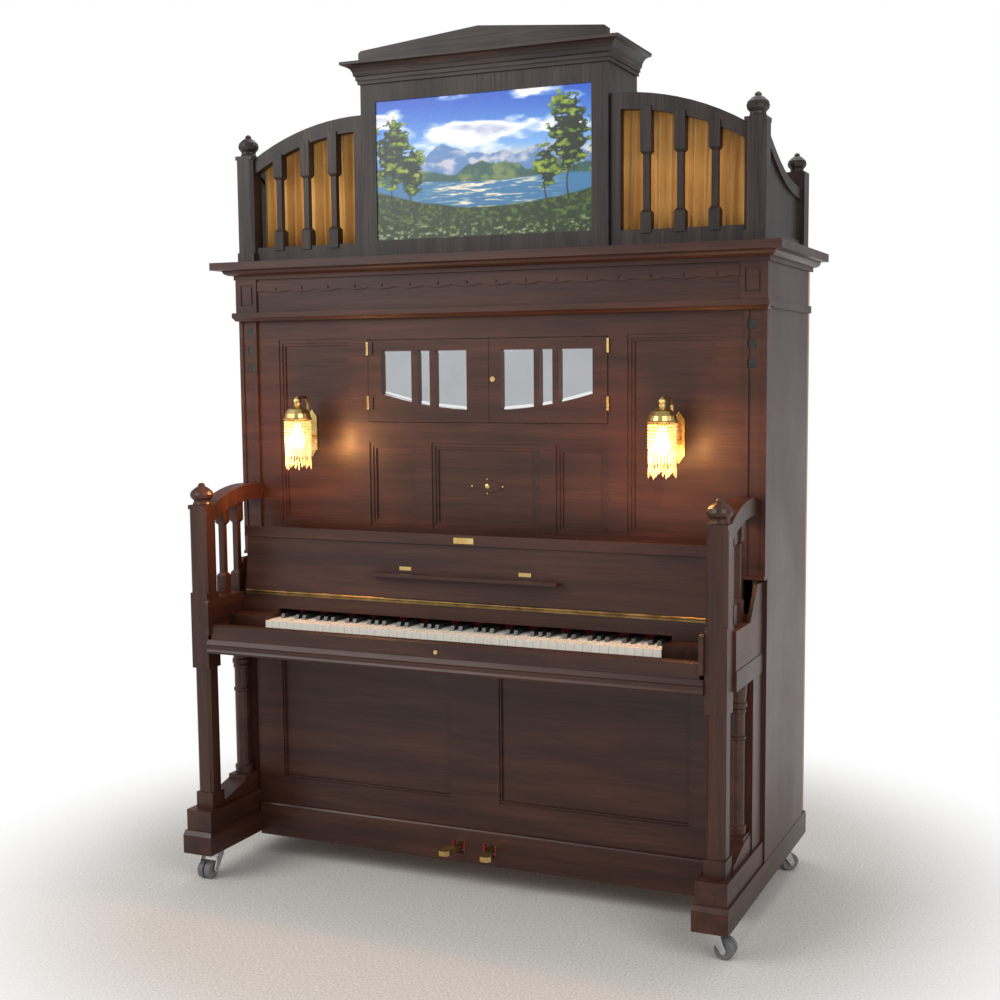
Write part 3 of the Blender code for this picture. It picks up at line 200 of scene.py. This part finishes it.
mirror = plain("mirror_glass", (0.80, 0.81, 0.82), (0.86, 0.87, 0.88), (0.02, 0.06), 1.0, 8.0, relief=0.004)
leather = plain("pump_cloth", (0.12, 0.09, 0.06), (0.18, 0.14, 0.09), (0.7, 0.9), 0.0, 40.0, relief=0.3)
bulb_glass = plain("bulb_lit", (1.0, 0.78, 0.45), (1.0, 0.85, 0.6), (0.2, 0.3), 0.0, 20.0,
                   glow=((1.0, 0.62, 0.28), 3.2))
# Painted light: the fringe rods glow orange though they are no lamp, standing in for the bulbs' light
# shining in the glass.
rod_glass_painted_glow = plain("fringe_glass_painted_glow", (0.80, 0.48, 0.18), (1.0, 0.76, 0.46), (0.06, 0.16), 0.0, 120.0,
                  glow=((1.0, 0.42, 0.10), 0.22))
slot_finish = {"brass": brass, "steel": steel, "iron": iron, "rubber": rubber, "ivory": ivory,
               "ebony": ebony, "black_plastic": plastic, "mirror": mirror, "glass_rods": rod_glass_painted_glow,
               "bulb_glass": bulb_glass}
slot_woods = {"dark_wood": case_wood, "gallery_wood": oak, "pale_wood": pale_wood}
slot_of = {part["node"]: part["material_slot"] for part in frame["record"]["subparts"]}
for name, thing in nodes.items():
    used = slot_of[name]
    finish = slot_woods[used][grain_axis(name)] if used in slot_woods else slot_finish.get(used)
    if name == "wind_pump":
        finish = leather
    # The lid hinge takes the darkened brass, which is painted shade.
    if name == "lid_hinge":
        finish = shaded_hinge_brass
    if finish:
        thing.data.materials.clear()
        thing.data.materials.append(finish)


# Folded amber cloth in both galleries.
# One woven sheet on each side hangs behind the spindles, gathered into folds that open
# towards the hem.
FRONT = -0.101          # y of the upper front plane
CASE = "case"


def add_piece(name, points, faces, finish, slot_name, body=CASE, smooth=True):
    """A mesh piece that rides on a body. It sits at the origin, with its place in its mesh."""
    mesh = bpy.data.meshes.new(name)
    mesh.from_pydata([tuple(p) for p in points], [], faces)
    mesh.update()
    thing = bpy.data.objects.new(name, mesh)
    bpy.context.scene.collection.objects.link(thing)
    mesh.materials.append(finish)
    if smooth:
        mesh.shade_smooth()
        mesh.set_sharp_from_angle(angle=math.radians(38))
    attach(thing, body)
    return thing


FOLDS = 11
FOLD_DEPTH, FOLD_SWAY = 0.006, 0.002        # swing of a fold, and its lesser waves
CLOTH_LINES = 46
CLOTH_COLUMNS = 330
CLOTH_INNER, CLOTH_OUTER = 0.3745, 0.7365   # from the tower to the corner post
CLOTH_HEM = 1.7672
CLOTH_Y = FRONT + 0.0585
ARCH_GAP = 0.008                            # from the arch down to the sheet
STILE_X, POST_X = 0.372, 0.734              # ends of the gallery's arch
ARCH_TOP, ARCH_RUN, ARCH_DROP = 2.166, 0.3622, 0.098


def arch_height(x):
    """Upper edge of the arch: a circle that is level at the tower."""
    radius = (ARCH_RUN ** 2 + ARCH_DROP ** 2) / (2 * ARCH_DROP)
    return ARCH_TOP - radius + np.sqrt(radius ** 2 - (np.minimum(x, POST_X) - STILE_X) ** 2)


def cloth_finish():
    """Woven cotton: fine threads, a warm uneven dye and a soft sheen."""
    material, n, links = new_material("amber_weave")
    shader = n["Principled BSDF"]
    dye = noise(n, links, mapped(n, links, (1, 1, 1)), 5.0, 4.0)
    stops = ((0.3, (0.46, 0.205, 0.038)), (0.55, (0.62, 0.310, 0.070)), (0.75, (0.70, 0.38, 0.11)))
    colour = ramp(n, links, dye, stops)
    threads = noise(n, links, mapped(n, links, (900, 300, 900)), 1.0, 2.0)
    links.new(colour, shader.inputs["Base Color"])
    links.new(spread(n, links, threads, 0.75, 0.95), shader.inputs["Roughness"])
    shader.inputs["Sheen Weight"].default_value = 0.3
    bump(n, links, threads, shader, 0.35, 0.0006)
    return material


def hung_sheet(sign):
    """Points of one sheet by column and line, and its height. Across, x runs from the tower to the
    post. Down, z falls evenly from the arch to the hem. y follows a cosine over the folds, which
    is uneven across, twice as deep at the hem as at the top, and has a lesser wave on it."""
    part = np.linspace(0, 1, CLOTH_COLUMNS)[:, None]
    drop = np.linspace(0, 1, CLOTH_LINES)[None, :]
    x = CLOTH_INNER + (CLOTH_OUTER - CLOTH_INNER) * part
    top = arch_height(x) - ARCH_GAP
    z = top + (CLOTH_HEM - top) * drop
    wave = FOLDS * 2 * np.pi * (part + 0.012 * np.sin(9 * part + sign) * drop)
    deep = FOLD_DEPTH + FOLD_DEPTH * drop
    uneven = 0.75 + 0.25 * np.sin(23 * part + 2 * sign)
    y = CLOTH_Y + deep * uneven * np.cos(wave) + FOLD_SWAY * np.sin(2.1 * wave + 3 * drop)
    x = x + FOLD_SWAY * np.sin(wave) * drop
    return np.stack([sign * x + 0 * z, y + 0 * z, z], axis=-1), float((top - CLOTH_HEM).max())


amber = cloth_finish()
lines = CLOTH_LINES
for sign, side in ((-1, "left"), (1, "right")):
    surface, height = hung_sheet(sign)
    faces = [(i * lines + j, i * lines + j + 1, (i + 1) * lines + j + 1, (i + 1) * lines + j)
             for i in range(CLOTH_COLUMNS - 1) for j in range(lines - 1)]
    cloth = add_piece("cloth_" + side, surface.reshape(-1, 3), faces, amber, "amber_cloth")
    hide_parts("curtain_" + side)


# Painted glass in the top box.
# A generic lake between hills under a broken sky: each colour follows from a formula.
COLUMNS, ROWS = 340, 200


def fractal(u, v, scale, octaves=5, seed=1):
    """Sum of smoothed random lattices, each half as strong and twice as fine."""
    total, weight = np.zeros_like(u), 0.0
    for octave in range(octaves):
        size = int(scale * 2 ** octave) + 2
        lattice = np.random.default_rng(seed + octave).random((size + 1, size + 1))
        a, b = np.clip(u, 0, 0.9999) * (size - 1), np.clip(v, 0, 0.9999) * (size - 1)
        i, j = a.astype(int), b.astype(int)
        s, t = a - i, b - j
        s, t = s * s * (3 - 2 * s), t * t * (3 - 2 * t)
        low = lattice[i, j] * (1 - s) + lattice[i + 1, j] * s
        high = lattice[i, j + 1] * (1 - s) + lattice[i + 1, j + 1] * s
        total += (low * (1 - t) + high * t) / 2 ** octave
        weight += 1 / 2 ** octave
    return total / weight


def lay(base, colour, cover):
    """Paint a colour over a base where cover is near 1."""
    cover = np.clip(cover, 0, 1)[..., None]
    return base * (1 - cover) + np.asarray(colour) * cover


def painting(u, v):
    """Colours of the picture, u to the right and v upward, both from 0 to 1."""
    edge = 90.0         # how sharply one shape ends against the next
    haze = np.broadcast_to((0.55, 0.70, 0.80), (*u.shape, 3)).copy()
    sky = lay(haze, (0.10, 0.28, 0.62), (v - 0.45) * 1.9)
    sky = lay(sky, (0.93, 0.72, 0.47), 1.0 - np.abs(v - 0.46) * 6.0)
    cloud = fractal(u * 0.9, np.clip(v * 1.3 - 0.3, 0, 1), 5, 6, 11)
    sky = lay(sky, (0.88, 0.86, 0.84), (cloud - 0.53) * 7.0 * np.clip((v - 0.50) * 5, 0, 1))
    sky = lay(sky, (0.50, 0.54, 0.64), (cloud - 0.66) * 5.0 * np.clip((v - 0.55) * 5, 0, 1))
    colours = sky
    # Far mountains, then the wooded hills in front of them.
    for level, swing, seed, tone, light in ((0.56, 0.16, 21, (0.30, 0.42, 0.58), (0.62, 0.62, 0.66)),
                                            (0.50, 0.13, 31, (0.16, 0.28, 0.26), (0.36, 0.42, 0.26))):
        ridge = level + swing * (fractal(u, 0 * u + 0.3, 5, 5, seed) - 0.5) * 2
        inside = (ridge - v) * edge
        colours = lay(colours, tone, inside)
        rock = fractal(u, v, 16, 4, seed + 5)
        colours = lay(colours, light, np.clip(inside, 0, 1) * (rock - 0.48) * 5)
    # The lake, with the light on its ripples.
    shore = 0.40 + 0.012 * np.sin(9 * u)
    water = (shore - v) * edge
    ripple = fractal(u * 0.35, np.clip(v * 2.2, 0, 1), 46, 3, 41)
    colours = lay(colours, (0.20, 0.38, 0.52), water)
    wet = np.clip(water, 0, 1)
    beam = np.clip(1 - abs(u - 0.52) * 2.6, 0, 1)
    colours = lay(colours, (0.80, 0.74, 0.62), wet * (ripple - 0.55) * 7 * beam)
    colours = lay(colours, (0.09, 0.20, 0.27), wet * (ripple - 0.62) * -1.2 * (0.36 - v) * 3)
    # The near bank, its grass and the stones along the lower edge.
    bank = 0.20 + 0.13 * (np.abs(u - 0.55) * 1.9) ** 2 + 0.02 * fractal(u, 0 * u + 0.6, 9, 4, 51)
    ground = (bank - v) * edge
    tufts = fractal(u, v, 58, 4, 61)
    colours = lay(colours, (0.10, 0.16, 0.05), ground)
    soil = np.clip(ground, 0, 1)
    colours = lay(colours, (0.24, 0.33, 0.10), soil * (tufts - 0.48) * 4)
    colours = lay(colours, (0.50, 0.50, 0.44), soil * (tufts - 0.62) * 6 * np.clip(0.16 - v, 0, 1) * 9)
    # Four trees at the sides: trunk, mass of leaves, lit leaves.
    leaves = fractal(u, v, 34, 4, 71)
    for centre, foot, height, width in ((0.08, 0.22, 0.60, 0.085), (0.17, 0.20, 0.42, 0.060),
                                        (0.90, 0.24, 0.66, 0.090), (0.80, 0.22, 0.36, 0.050)):
        stands = (v > foot - 0.05) & (v < foot + height * 0.8)
        trunk = np.clip(1 - np.abs(u - centre - 0.01 * np.sin(14 * v)) * 190, 0, 1) * stands
        colours = lay(colours, (0.13, 0.07, 0.03), trunk)
        crown = 1 - ((u - centre) / width) ** 2 - ((v - foot - height * 0.66) / (height * 0.40)) ** 2
        mass = (crown * 0.9 + (leaves - 0.5) * 2.2) * 8
        colours = lay(colours, (0.045, 0.105, 0.030), mass)
        lit = np.clip(mass, 0, 1) * (leaves - 0.50) * 8
        colours = lay(colours, (0.26, 0.36, 0.09), lit)
        colours = lay(colours, (0.48, 0.52, 0.16), np.clip(mass, 0, 1) * (leaves - 0.62) * 7)
    return np.clip(colours, 0, 1)


def painted_finish():
    """Back-lit paint: the colour attribute, brush relief and a soft glow."""
    material, n, links = new_material("painted_picture")
    shader = n["Principled BSDF"]
    colour = n.new("ShaderNodeAttribute")
    colour.attribute_name = "paint"
    strokes = noise(n, links, mapped(n, links, (120, 1, 260)), 1.0, 4.0)
    links.new(colour.outputs["Color"], shader.inputs["Base Color"])
    links.new(colour.outputs["Color"], shader.inputs["Emission Color"])
    shader.inputs["Emission Strength"].default_value = 0.40
    links.new(spread(n, links, strokes, 0.25, 0.45), shader.inputs["Roughness"])
    bump(n, links, strokes, shader, 0.12, 0.0005)
    return material


low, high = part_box("picture")
u, v = np.meshgrid(np.linspace(0, 1, COLUMNS), np.linspace(0, 1, ROWS), indexing="ij")
face_y = low.y + 0.0005 + 0 * u
points = np.stack([low.x + (high.x - low.x) * u, face_y, low.z + (high.z - low.z) * v], -1)
points = points.reshape(-1, 3)
faces = [(i * ROWS + j, (i + 1) * ROWS + j, (i + 1) * ROWS + j + 1, i * ROWS + j + 1)
         for i in range(COLUMNS - 1) for j in range(ROWS - 1)]
picture = add_piece("painted_picture", points, faces, painted_finish(), "painted_glass", smooth=False)
paint = picture.data.color_attributes.new("paint", "FLOAT_COLOR", "POINT")
colours = np.concatenate([painting(u, v) ** 2.2, np.ones((*u.shape, 1))], -1)
paint.data.foreach_set("color", colours.astype(np.float32).ravel())
backing = picture.modifiers.new("glass", "SOLIDIFY")
backing.thickness = 0.004
backing.offset = -1.0
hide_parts("picture")


# Lamp fringes: glass beads, rods and a beaded zigzag hem on each lamp.
# The strings hang from the dome's rim, as the CAD's notched tube does, and a small lamp
# before each fringe throws its glow on the wood.
def turned_shell(profile, centre, axis="z", steps=14):
    """Profile of (radius, distance) pairs turned about an axis through a centre: each pair is a
    ring of points at that radius, with a cosine along one direction and a sine along the next."""
    points, faces = [], []
    for radius, along in profile:
        for i in range(steps):
            turn = 2 * math.pi * i / steps
            a, b = radius * math.cos(turn), radius * math.sin(turn)
            local = (a, b, along) if axis == "z" else (a, along, b)
            points.append(tuple(c + v for c, v in zip(centre, local)))
    for row in range(len(profile) - 1):
        for i in range(steps):
            j = (i + 1) % steps
            faces.append((row * steps + i, row * steps + j, (row + 1) * steps + j, (row + 1) * steps + i))
    faces.append(tuple(range(steps - 1, -1, -1)))
    faces.append(tuple(range(len(points) - steps, len(points))))
    return points, faces


def joined(shells):
    """Several shells as one list of points and faces."""
    points, faces = [], []
    for some_points, some_faces in shells:
        start = len(points)
        points += list(some_points)
        faces += [tuple(i + start for i in face) for face in some_faces]
    return points, faces


STRINGS, BEADS, HEM_BEADS = 26, 8, 3
LAMP_X, LAMP_Y, LAMP_RIM = 0.547, FRONT - 0.084, 1.3105
FRINGE_RADIUS = 0.0355
# Heights from the rim.
FIRST_BEAD, BEAD_PITCH = -0.006, 0.0082
ROD_TOP, ROD_END = -0.069, -0.105
FIRST_HEM_BEAD, HEM_PITCH, THREAD_END = -0.110, 0.0065, -0.129
ZIGZAG = 0.007                                              # one step of the hem
HOLE, BEAD_GIRTH, HEM_GIRTH, ROD_GIRTH, THREAD_GIRTH = 0.0008, 0.0034, 0.0030, 0.0016, 0.0005


def fringe_string(place, swing):
    """One string from the rim down: beads, a rod, and a thread whose beads hang lower by the swing.
    A bead is a short barrel, and a hem bead a pair of cones."""
    shells = [turned_shell([(ROD_GIRTH, ROD_END), (ROD_GIRTH, ROD_TOP)], place, steps=6)]
    for k in range(BEADS):
        at = FIRST_BEAD - BEAD_PITCH * k
        barrel = [(HOLE, at + 0.0038), (BEAD_GIRTH, at + 0.0012), (BEAD_GIRTH, at - 0.0012),
                  (HOLE, at - 0.0038)]
        shells.append(turned_shell(barrel, place, steps=6))
    for k in range(HEM_BEADS):
        at = FIRST_HEM_BEAD - HEM_PITCH * k - swing
        cones = [(HOLE, at + 0.003), (HEM_GIRTH, at), (HOLE, at - 0.003)]
        shells.append(turned_shell(cones, place, steps=6))
    thread = [(THREAD_GIRTH, THREAD_END - swing), (THREAD_GIRTH, ROD_END)]
    shells.append(turned_shell(thread, place, steps=4))
    return shells


for sign, side in ((-1, "left"), (1, "right")):
    cx, cy = sign * LAMP_X, LAMP_Y
    shells = []
    for i in range(STRINGS):
        turn = 2 * math.pi * i / STRINGS
        px, py = cx + FRINGE_RADIUS * math.cos(turn), cy + FRINGE_RADIUS * math.sin(turn)
        shells += fringe_string((px, py, LAMP_RIM), ZIGZAG * (i % 4 if i % 4 < 3 else 1))
    # The fringe's orange glow is painted light, set in its finish; the point light below is the real lamp.
    fringe = add_piece("glass_fringe_" + side, *joined(shells), rod_glass_painted_glow, "glass_rods")
    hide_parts("fringe_" + side)
    light = bpy.data.lights.new("lamp_light_" + side, "POINT")
    light.energy = 6.5
    light.color = (1.0, 0.46, 0.15)
    light.shadow_soft_size = 0.04
    spot = bpy.data.objects.new("lamp_light_" + side, light)
    spot.location = (cx, cy - 0.062, 1.235)
    bpy.context.scene.collection.objects.link(spot)


# Red felt strip behind the keys.
# Wool felt, glued along the whole keyboard under the nameboard's edge.
def box_shell(x0, x1, y0, y1, z0, z1):
    """A box as points and faces."""
    points = [(x, y, z) for z in (z0, z1) for x, y in ((x0, y0), (x1, y0), (x1, y1), (x0, y1))]
    return points, [(0, 3, 2, 1), (4, 5, 6, 7), (0, 1, 5, 4), (1, 2, 6, 5), (2, 3, 7, 6), (3, 0, 4, 7)]


FELT_HALF, FELT_FRONT, FELT_BACK = 0.586, FRONT - 0.078, FRONT - 0.064
FELT_LOW, FELT_TOP = 0.7485, 0.7575
add_piece("key_felt", *box_shell(-FELT_HALF, FELT_HALF, FELT_FRONT, FELT_BACK, FELT_LOW, FELT_TOP), felt,
          "amber_cloth", smooth=False)


# Inset squares, three down each pilaster.
# Dark and polished, let into the pilaster's face.
INSET_X, INSET_HALF = 0.7575, 0.0115
INSET_FRONT, INSET_BACK = FRONT + 0.0048, FRONT + 0.009
insets = []
for sign in (-1, 1):
    for z in (1.560, 1.510, 1.461):
        x = sign * INSET_X
        insets.append(box_shell(x - INSET_HALF, x + INSET_HALF, INSET_FRONT, INSET_BACK,
                                z - INSET_HALF, z + INSET_HALF))
add_piece("pilaster_insets", *joined(insets), ebony, "ebony", smooth=False)


# Hinges and bevelled panes of the two doors.
# Each door hangs on two brass butt hinges of five knuckles and holds three panes, whose
# edges slope back into the frame.
KNUCKLES, KNUCKLE_RADIUS = 5, 0.0040
FIRST_KNUCKLE, KNUCKLE_PITCH, KNUCKLE_LENGTH = -0.0192, 0.0077, 0.0073
HINGE_X, HINGE_Y = 0.366, FRONT + 0.004
PANES = ((0.052, 0.151), (0.167, 0.206), (0.225, 0.322))
PANE_TOP, PANE_LOW, PANE_CURVE = 1.505, 1.338, 1.150
PANE_RINGS = ((0.0, 0.0182), (0.009, 0.0176))   # inset from the pane's edge, depth behind the front


def pane_shell(sign, low_x, high_x):
    """A pane as two rings of four corners, the inner ring nearer the front. The lower corners
    lie on a circle of radius PANE_CURVE that is lowest at the middle of the case."""
    points = []
    for inset, y in PANE_RINGS:
        left_x, right_x, top = low_x + inset, high_x - inset, PANE_TOP - inset
        for x in (left_x, right_x):
            z = PANE_LOW + PANE_CURVE - math.sqrt(PANE_CURVE ** 2 - x ** 2) + inset
            points.append((sign * x, FRONT + y, z))
        points += [(sign * right_x, FRONT + y, top), (sign * left_x, FRONT + y, top)]
    faces = [(i, (i + 1) % 4, (i + 1) % 4 + 4, i + 4) for i in range(4)] + [(4, 5, 6, 7)]
    return points, faces


for sign, side in ((-1, "left"), (1, "right")):
    door_brass = []
    for z in (1.358, 1.512):
        for k in range(KNUCKLES):
            start = FIRST_KNUCKLE + KNUCKLE_PITCH * k
            knuckle = [(KNUCKLE_RADIUS, start), (KNUCKLE_RADIUS, start + KNUCKLE_LENGTH)]
            door_brass.append(turned_shell(knuckle, (sign * HINGE_X, HINGE_Y, z), steps=12))
    add_piece("door_hinges_" + side, *joined(door_brass), brass, "brass", body="door_" + side)
    bevels = [pane_shell(sign, low_x, high_x) for low_x, high_x in PANES]
    add_piece("pane_bevels_" + side, *joined(bevels), mirror, "mirror", body="door_" + side,
              smooth=False)


# Centre ornament, door escutcheon and the keyhole plate of the key slip.
# The ornament is a wooden lens with five turned brass studs. The other two are turned
# brass plates, each on the face that carries it.
CENTRE_X, CENTRE_Z = 0.004, 1.126
LENS_BACK, LENS_FRONT = 0.018, 0.0155               # depths behind the front
LENS_HALF_WIDTH, LENS_HALF_HEIGHT = 0.047, 0.018
plates = []
ornament = [(0.0005, -0.0030), (0.006, -0.0030), (0.009, -0.001), (0.009, 0.0)]
for dx, dz, size in ((0, 0, 1.0), (-0.047, 0, 0.4), (0.047, 0, 0.4), (0, 0.020, 0.35), (0, -0.020, 0.35)):
    profile = [(r * size, y) for r, y in reversed(ornament)]
    plates.append(turned_shell(profile, (CENTRE_X + dx, FRONT + LENS_BACK, CENTRE_Z + dz), "y", 10))
STEPS = 24
lens = []
for i in range(STEPS):
    turn = 2 * math.pi * i / STEPS
    wide = math.cos(turn)
    rise = LENS_HALF_HEIGHT * math.sin(turn) * (1 - 0.35 * abs(wide))   # thinner towards the ends
    lens.append((CENTRE_X + LENS_HALF_WIDTH * wide, CENTRE_Z + rise))
lens_points = [(px, FRONT + y, pz) for y in (LENS_FRONT, LENS_BACK) for px, pz in lens]
lens_faces = [tuple(range(STEPS)), tuple(range(2 * STEPS - 1, STEPS - 1, -1))]
lens_faces += [(i, i + STEPS, (i + 1) % STEPS + STEPS, (i + 1) % STEPS) for i in range(STEPS)]
add_piece("ornament_plate", lens_points, lens_faces, case_wood[0], "dark_wood")
escutcheon = turned_shell([(0.0075, -0.0022), (0.0085, 0.0)], (0.028, FRONT + 0.006, 1.424), "y")
add_piece("door_escutcheon", *escutcheon, brass, "brass", body="door_right")
keyhole = [(0.0055, -0.0012), (0.0065, 0.0006)]
plates.append(turned_shell(keyhole, (-0.004, FRONT - 0.298, 0.714), "y", 14))
add_piece("brass_studs", *joined(plates), brass, "brass")


# Paper roll behind the doors, felts of the pedal slots and two bare edges of wood.
# The paper is wound on both spools and runs up between them. Felt lines the slots' sides,
# and a strip of unstained wood stands at each side of the case, level with the lid.
PEDAL_X, SLOT_HALF, FELT_HALF_THICK = 0.048, 0.0178, 0.0011
EDGE_INNER, EDGE_OUTER = 0.7578, 0.7765
slot_felts, bare_edges = [], []
for sign in (-1, 1):
    for edge in (-SLOT_HALF, SLOT_HALF):
        x = sign * PEDAL_X + edge
        slot_felts.append(box_shell(x - FELT_HALF_THICK, x + FELT_HALF_THICK,
                                    FRONT - 0.0875, FRONT - 0.0685, 0.1005, 0.1355))
    x0, x1 = sorted((sign * EDGE_INNER, sign * EDGE_OUTER))
    bare_edges.append(box_shell(x0, x1, FRONT + 0.0242, FRONT + 0.0252, 0.8125, 0.8975))
paper = plain("roll_paper", (0.62, 0.55, 0.42), (0.70, 0.64, 0.50), (0.6, 0.8), 0.0, 35.0, relief=0.08)
PAPER_HALF, SPOOL_Y, PAPER_RADIUS, SIDES = 0.246, FRONT + 0.0807, 0.0318, 28
SPOOL_LOW, SPOOL_HIGH = 1.350, 1.490
rolls = [box_shell(-PAPER_HALF, PAPER_HALF, FRONT + 0.0450, FRONT + 0.0456, SPOOL_LOW, SPOOL_HIGH)]
for z in (SPOOL_LOW, SPOOL_HIGH):
    turns = [2 * math.pi * k / SIDES for k in range(SIDES)]
    roll_points = [(x, SPOOL_Y + PAPER_RADIUS * math.cos(turn), z + PAPER_RADIUS * math.sin(turn))
                   for x in (-PAPER_HALF, PAPER_HALF) for turn in turns]
    roll_faces = [(k, (k + 1) % SIDES, (k + 1) % SIDES + SIDES, k + SIDES) for k in range(SIDES)]
    roll_faces += [tuple(range(SIDES - 1, -1, -1)), tuple(range(SIDES, 2 * SIDES))]
    rolls.append((roll_points, roll_faces))
add_piece("paper_roll", *joined(rolls), paper, "ivory")
add_piece("pedal_felts", *joined(slot_felts), felt, "amber_cloth", smooth=False)
add_piece("bare_wood_edges", *joined(bare_edges), pale_wood[2], "pale_wood", smooth=False)


# Brass on the lid: a lock plate near its edge, and two plates that carry the music ledge.
# They lie on the leaning front of the lid, and each ledge plate has three screws.
LEAN = math.tan(math.radians(5.0))
LID_Y, LID_Z = FRONT - 0.138, 0.818     # the lid's hinge axis
LOCK_RISE, PLATE_RISE = 0.171, 0.085    # heights above that axis
LOCK_HALF_WIDTH, LOCK_HALF_HEIGHT = 0.030, 0.008
PLATE_X, PLATE_HALF_WIDTH, PLATE_HALF_HEIGHT = 0.180, 0.018, 0.007
PROUD, SUNK = 0.0006, 0.002             # a plate's thickness before and behind the lid's face
SCREW_PITCH, SCREW_RADIUS = 0.011, 0.0022
z = LID_Z + LOCK_RISE
y = LID_Y - 0.0085 + LEAN * LOCK_RISE
lid_marks = [box_shell(-LOCK_HALF_WIDTH, LOCK_HALF_WIDTH, y - PROUD, y + SUNK,
                       z - LOCK_HALF_HEIGHT, z + LOCK_HALF_HEIGHT)]
for px in (-PLATE_X, PLATE_X):
    z = LID_Z + PLATE_RISE
    y = LID_Y + 0.0003 + LEAN * PLATE_RISE
    lid_marks.append(box_shell(px - PLATE_HALF_WIDTH, px + PLATE_HALF_WIDTH, y - PROUD, y + SUNK,
                               z - PLATE_HALF_HEIGHT, z + PLATE_HALF_HEIGHT))
    for k in (-1, 0, 1):
        screw = [(SCREW_RADIUS, -0.0008), (SCREW_RADIUS, 0.001)]
        lid_marks.append(turned_shell(screw, (px + SCREW_PITCH * k, y, z), "y", 8))
add_piece("lid_fittings", *joined(lid_marks), brass, "brass", body="lid")


# Room: pale floor that fades into white, soft lamps, and the photograph's camera.
# None of it belongs to the object.
def build_floor():
    """A wide plane, speckled beige near the object and white farther out."""
    half = 30
    mesh = bpy.data.meshes.new("floor")
    mesh.from_pydata([(-half, -half, 0), (half, -half, 0), (half, half, 0), (-half, half, 0)],
                     [], [(0, 1, 2, 3)])
    floor = bpy.data.objects.new("floor", mesh)
    bpy.context.scene.collection.objects.link(floor)
    material, n, links = new_material("floor_carpet")
    shader = n["Principled BSDF"]
    vector = mapped(n, links, (1, 1, 1))
    speckle = noise(n, links, vector, 160.0, 3.0)
    tones = ramp(n, links, speckle, ((0.35, (0.52, 0.49, 0.45)), (0.65, (0.72, 0.69, 0.65))))
    links.new(tones, shader.inputs["Base Color"])
    shader.inputs["Roughness"].default_value = 0.95
    away = n.new("ShaderNodeVectorMath")
    away.operation = "LENGTH"
    links.new(vector, away.inputs[0])
    fade = n.new("ShaderNodeMapRange")
    fade.inputs["From Min"].default_value = 0.95    # distance at which the beige starts to fade
    fade.inputs["From Max"].default_value = 1.75    # and at which it has gone
    fade.interpolation_type = "SMOOTHSTEP"
    links.new(away.outputs["Value"], fade.inputs["Value"])
    white = n.new("ShaderNodeEmission")
    white.inputs["Strength"].default_value = 1.0
    mix = n.new("ShaderNodeMixShader")
    links.new(fade.outputs["Result"], mix.inputs["Fac"])
    links.new(shader.outputs["BSDF"], mix.inputs[1])
    links.new(white.outputs["Emission"], mix.inputs[2])
    links.new(mix.outputs["Shader"], n["Material Output"].inputs["Surface"])
    mesh.materials.append(material)


def build_world():
    """White behind the object for the camera, a softer grey for the light."""
    scene = bpy.context.scene
    world = bpy.data.worlds.new("studio")
    scene.world = world
    world.use_nodes = True
    n, links = world.node_tree.nodes, world.node_tree.links
    path = n.new("ShaderNodeLightPath")
    seen = n.new("ShaderNodeBackground")
    seen.inputs["Color"].default_value = (1, 1, 1, 1)
    fill = n["Background"]
    fill.inputs["Color"].default_value = (0.95, 0.97, 1.0, 1)
    fill.inputs["Strength"].default_value = 0.55
    mix = n.new("ShaderNodeMixShader")
    links.new(path.outputs["Is Camera Ray"], mix.inputs["Fac"])
    links.new(fill.outputs["Background"], mix.inputs[1])
    links.new(seen.outputs["Background"], mix.inputs[2])
    links.new(mix.outputs["Shader"], n["World Output"].inputs["Surface"])
    scene.view_settings.view_transform = "Standard"
    # Place, side length and power of each softbox, which all look at the object's middle.
    softboxes = (((-2.6, -3.4, 3.4), 2.6, 110), ((3.4, -2.6, 2.6), 2.4, 70), ((0.0, 1.5, 4.2), 3.0, 60))
    for spot, size, power in softboxes:
        light = bpy.data.lights.new("softbox", "AREA")
        light.shape = "SQUARE"
        light.size = size
        light.energy = power
        lamp = bpy.data.objects.new("softbox", light)
        lamp.location = spot
        lamp.rotation_euler = (Vector((0, 0, 1.1)) - Vector(spot)).to_track_quat("-Z", "Y").to_euler()
        scene.collection.objects.link(lamp)


def build_camera():
    """The photograph's camera, solved from the case's corners."""
    yaw, pitch, roll = math.radians(23.53), math.radians(-5.73), math.radians(-0.41)
    forward = Vector((-math.sin(yaw) * math.cos(pitch), math.cos(yaw) * math.cos(pitch), math.sin(pitch)))
    right = Vector((math.cos(yaw), math.sin(yaw), 0))
    up = right.cross(forward)
    side = right * math.cos(roll) + up * math.sin(roll)
    top = up * math.cos(roll) - right * math.sin(roll)
    data = bpy.data.cameras.new("camera")
    data.lens = 51.23
    data.shift_x = -0.0256
    data.shift_y = 0.0135
    camera = bpy.data.objects.new("camera", data)
    camera.matrix_world = (Matrix.Translation((1.6809, FRONT - 3.5691, 1.4461))
                           @ Matrix((side, top, -forward)).transposed().to_4x4())
    bpy.context.scene.collection.objects.link(camera)
    bpy.context.scene.camera = camera


build_floor()
build_world()
build_camera()
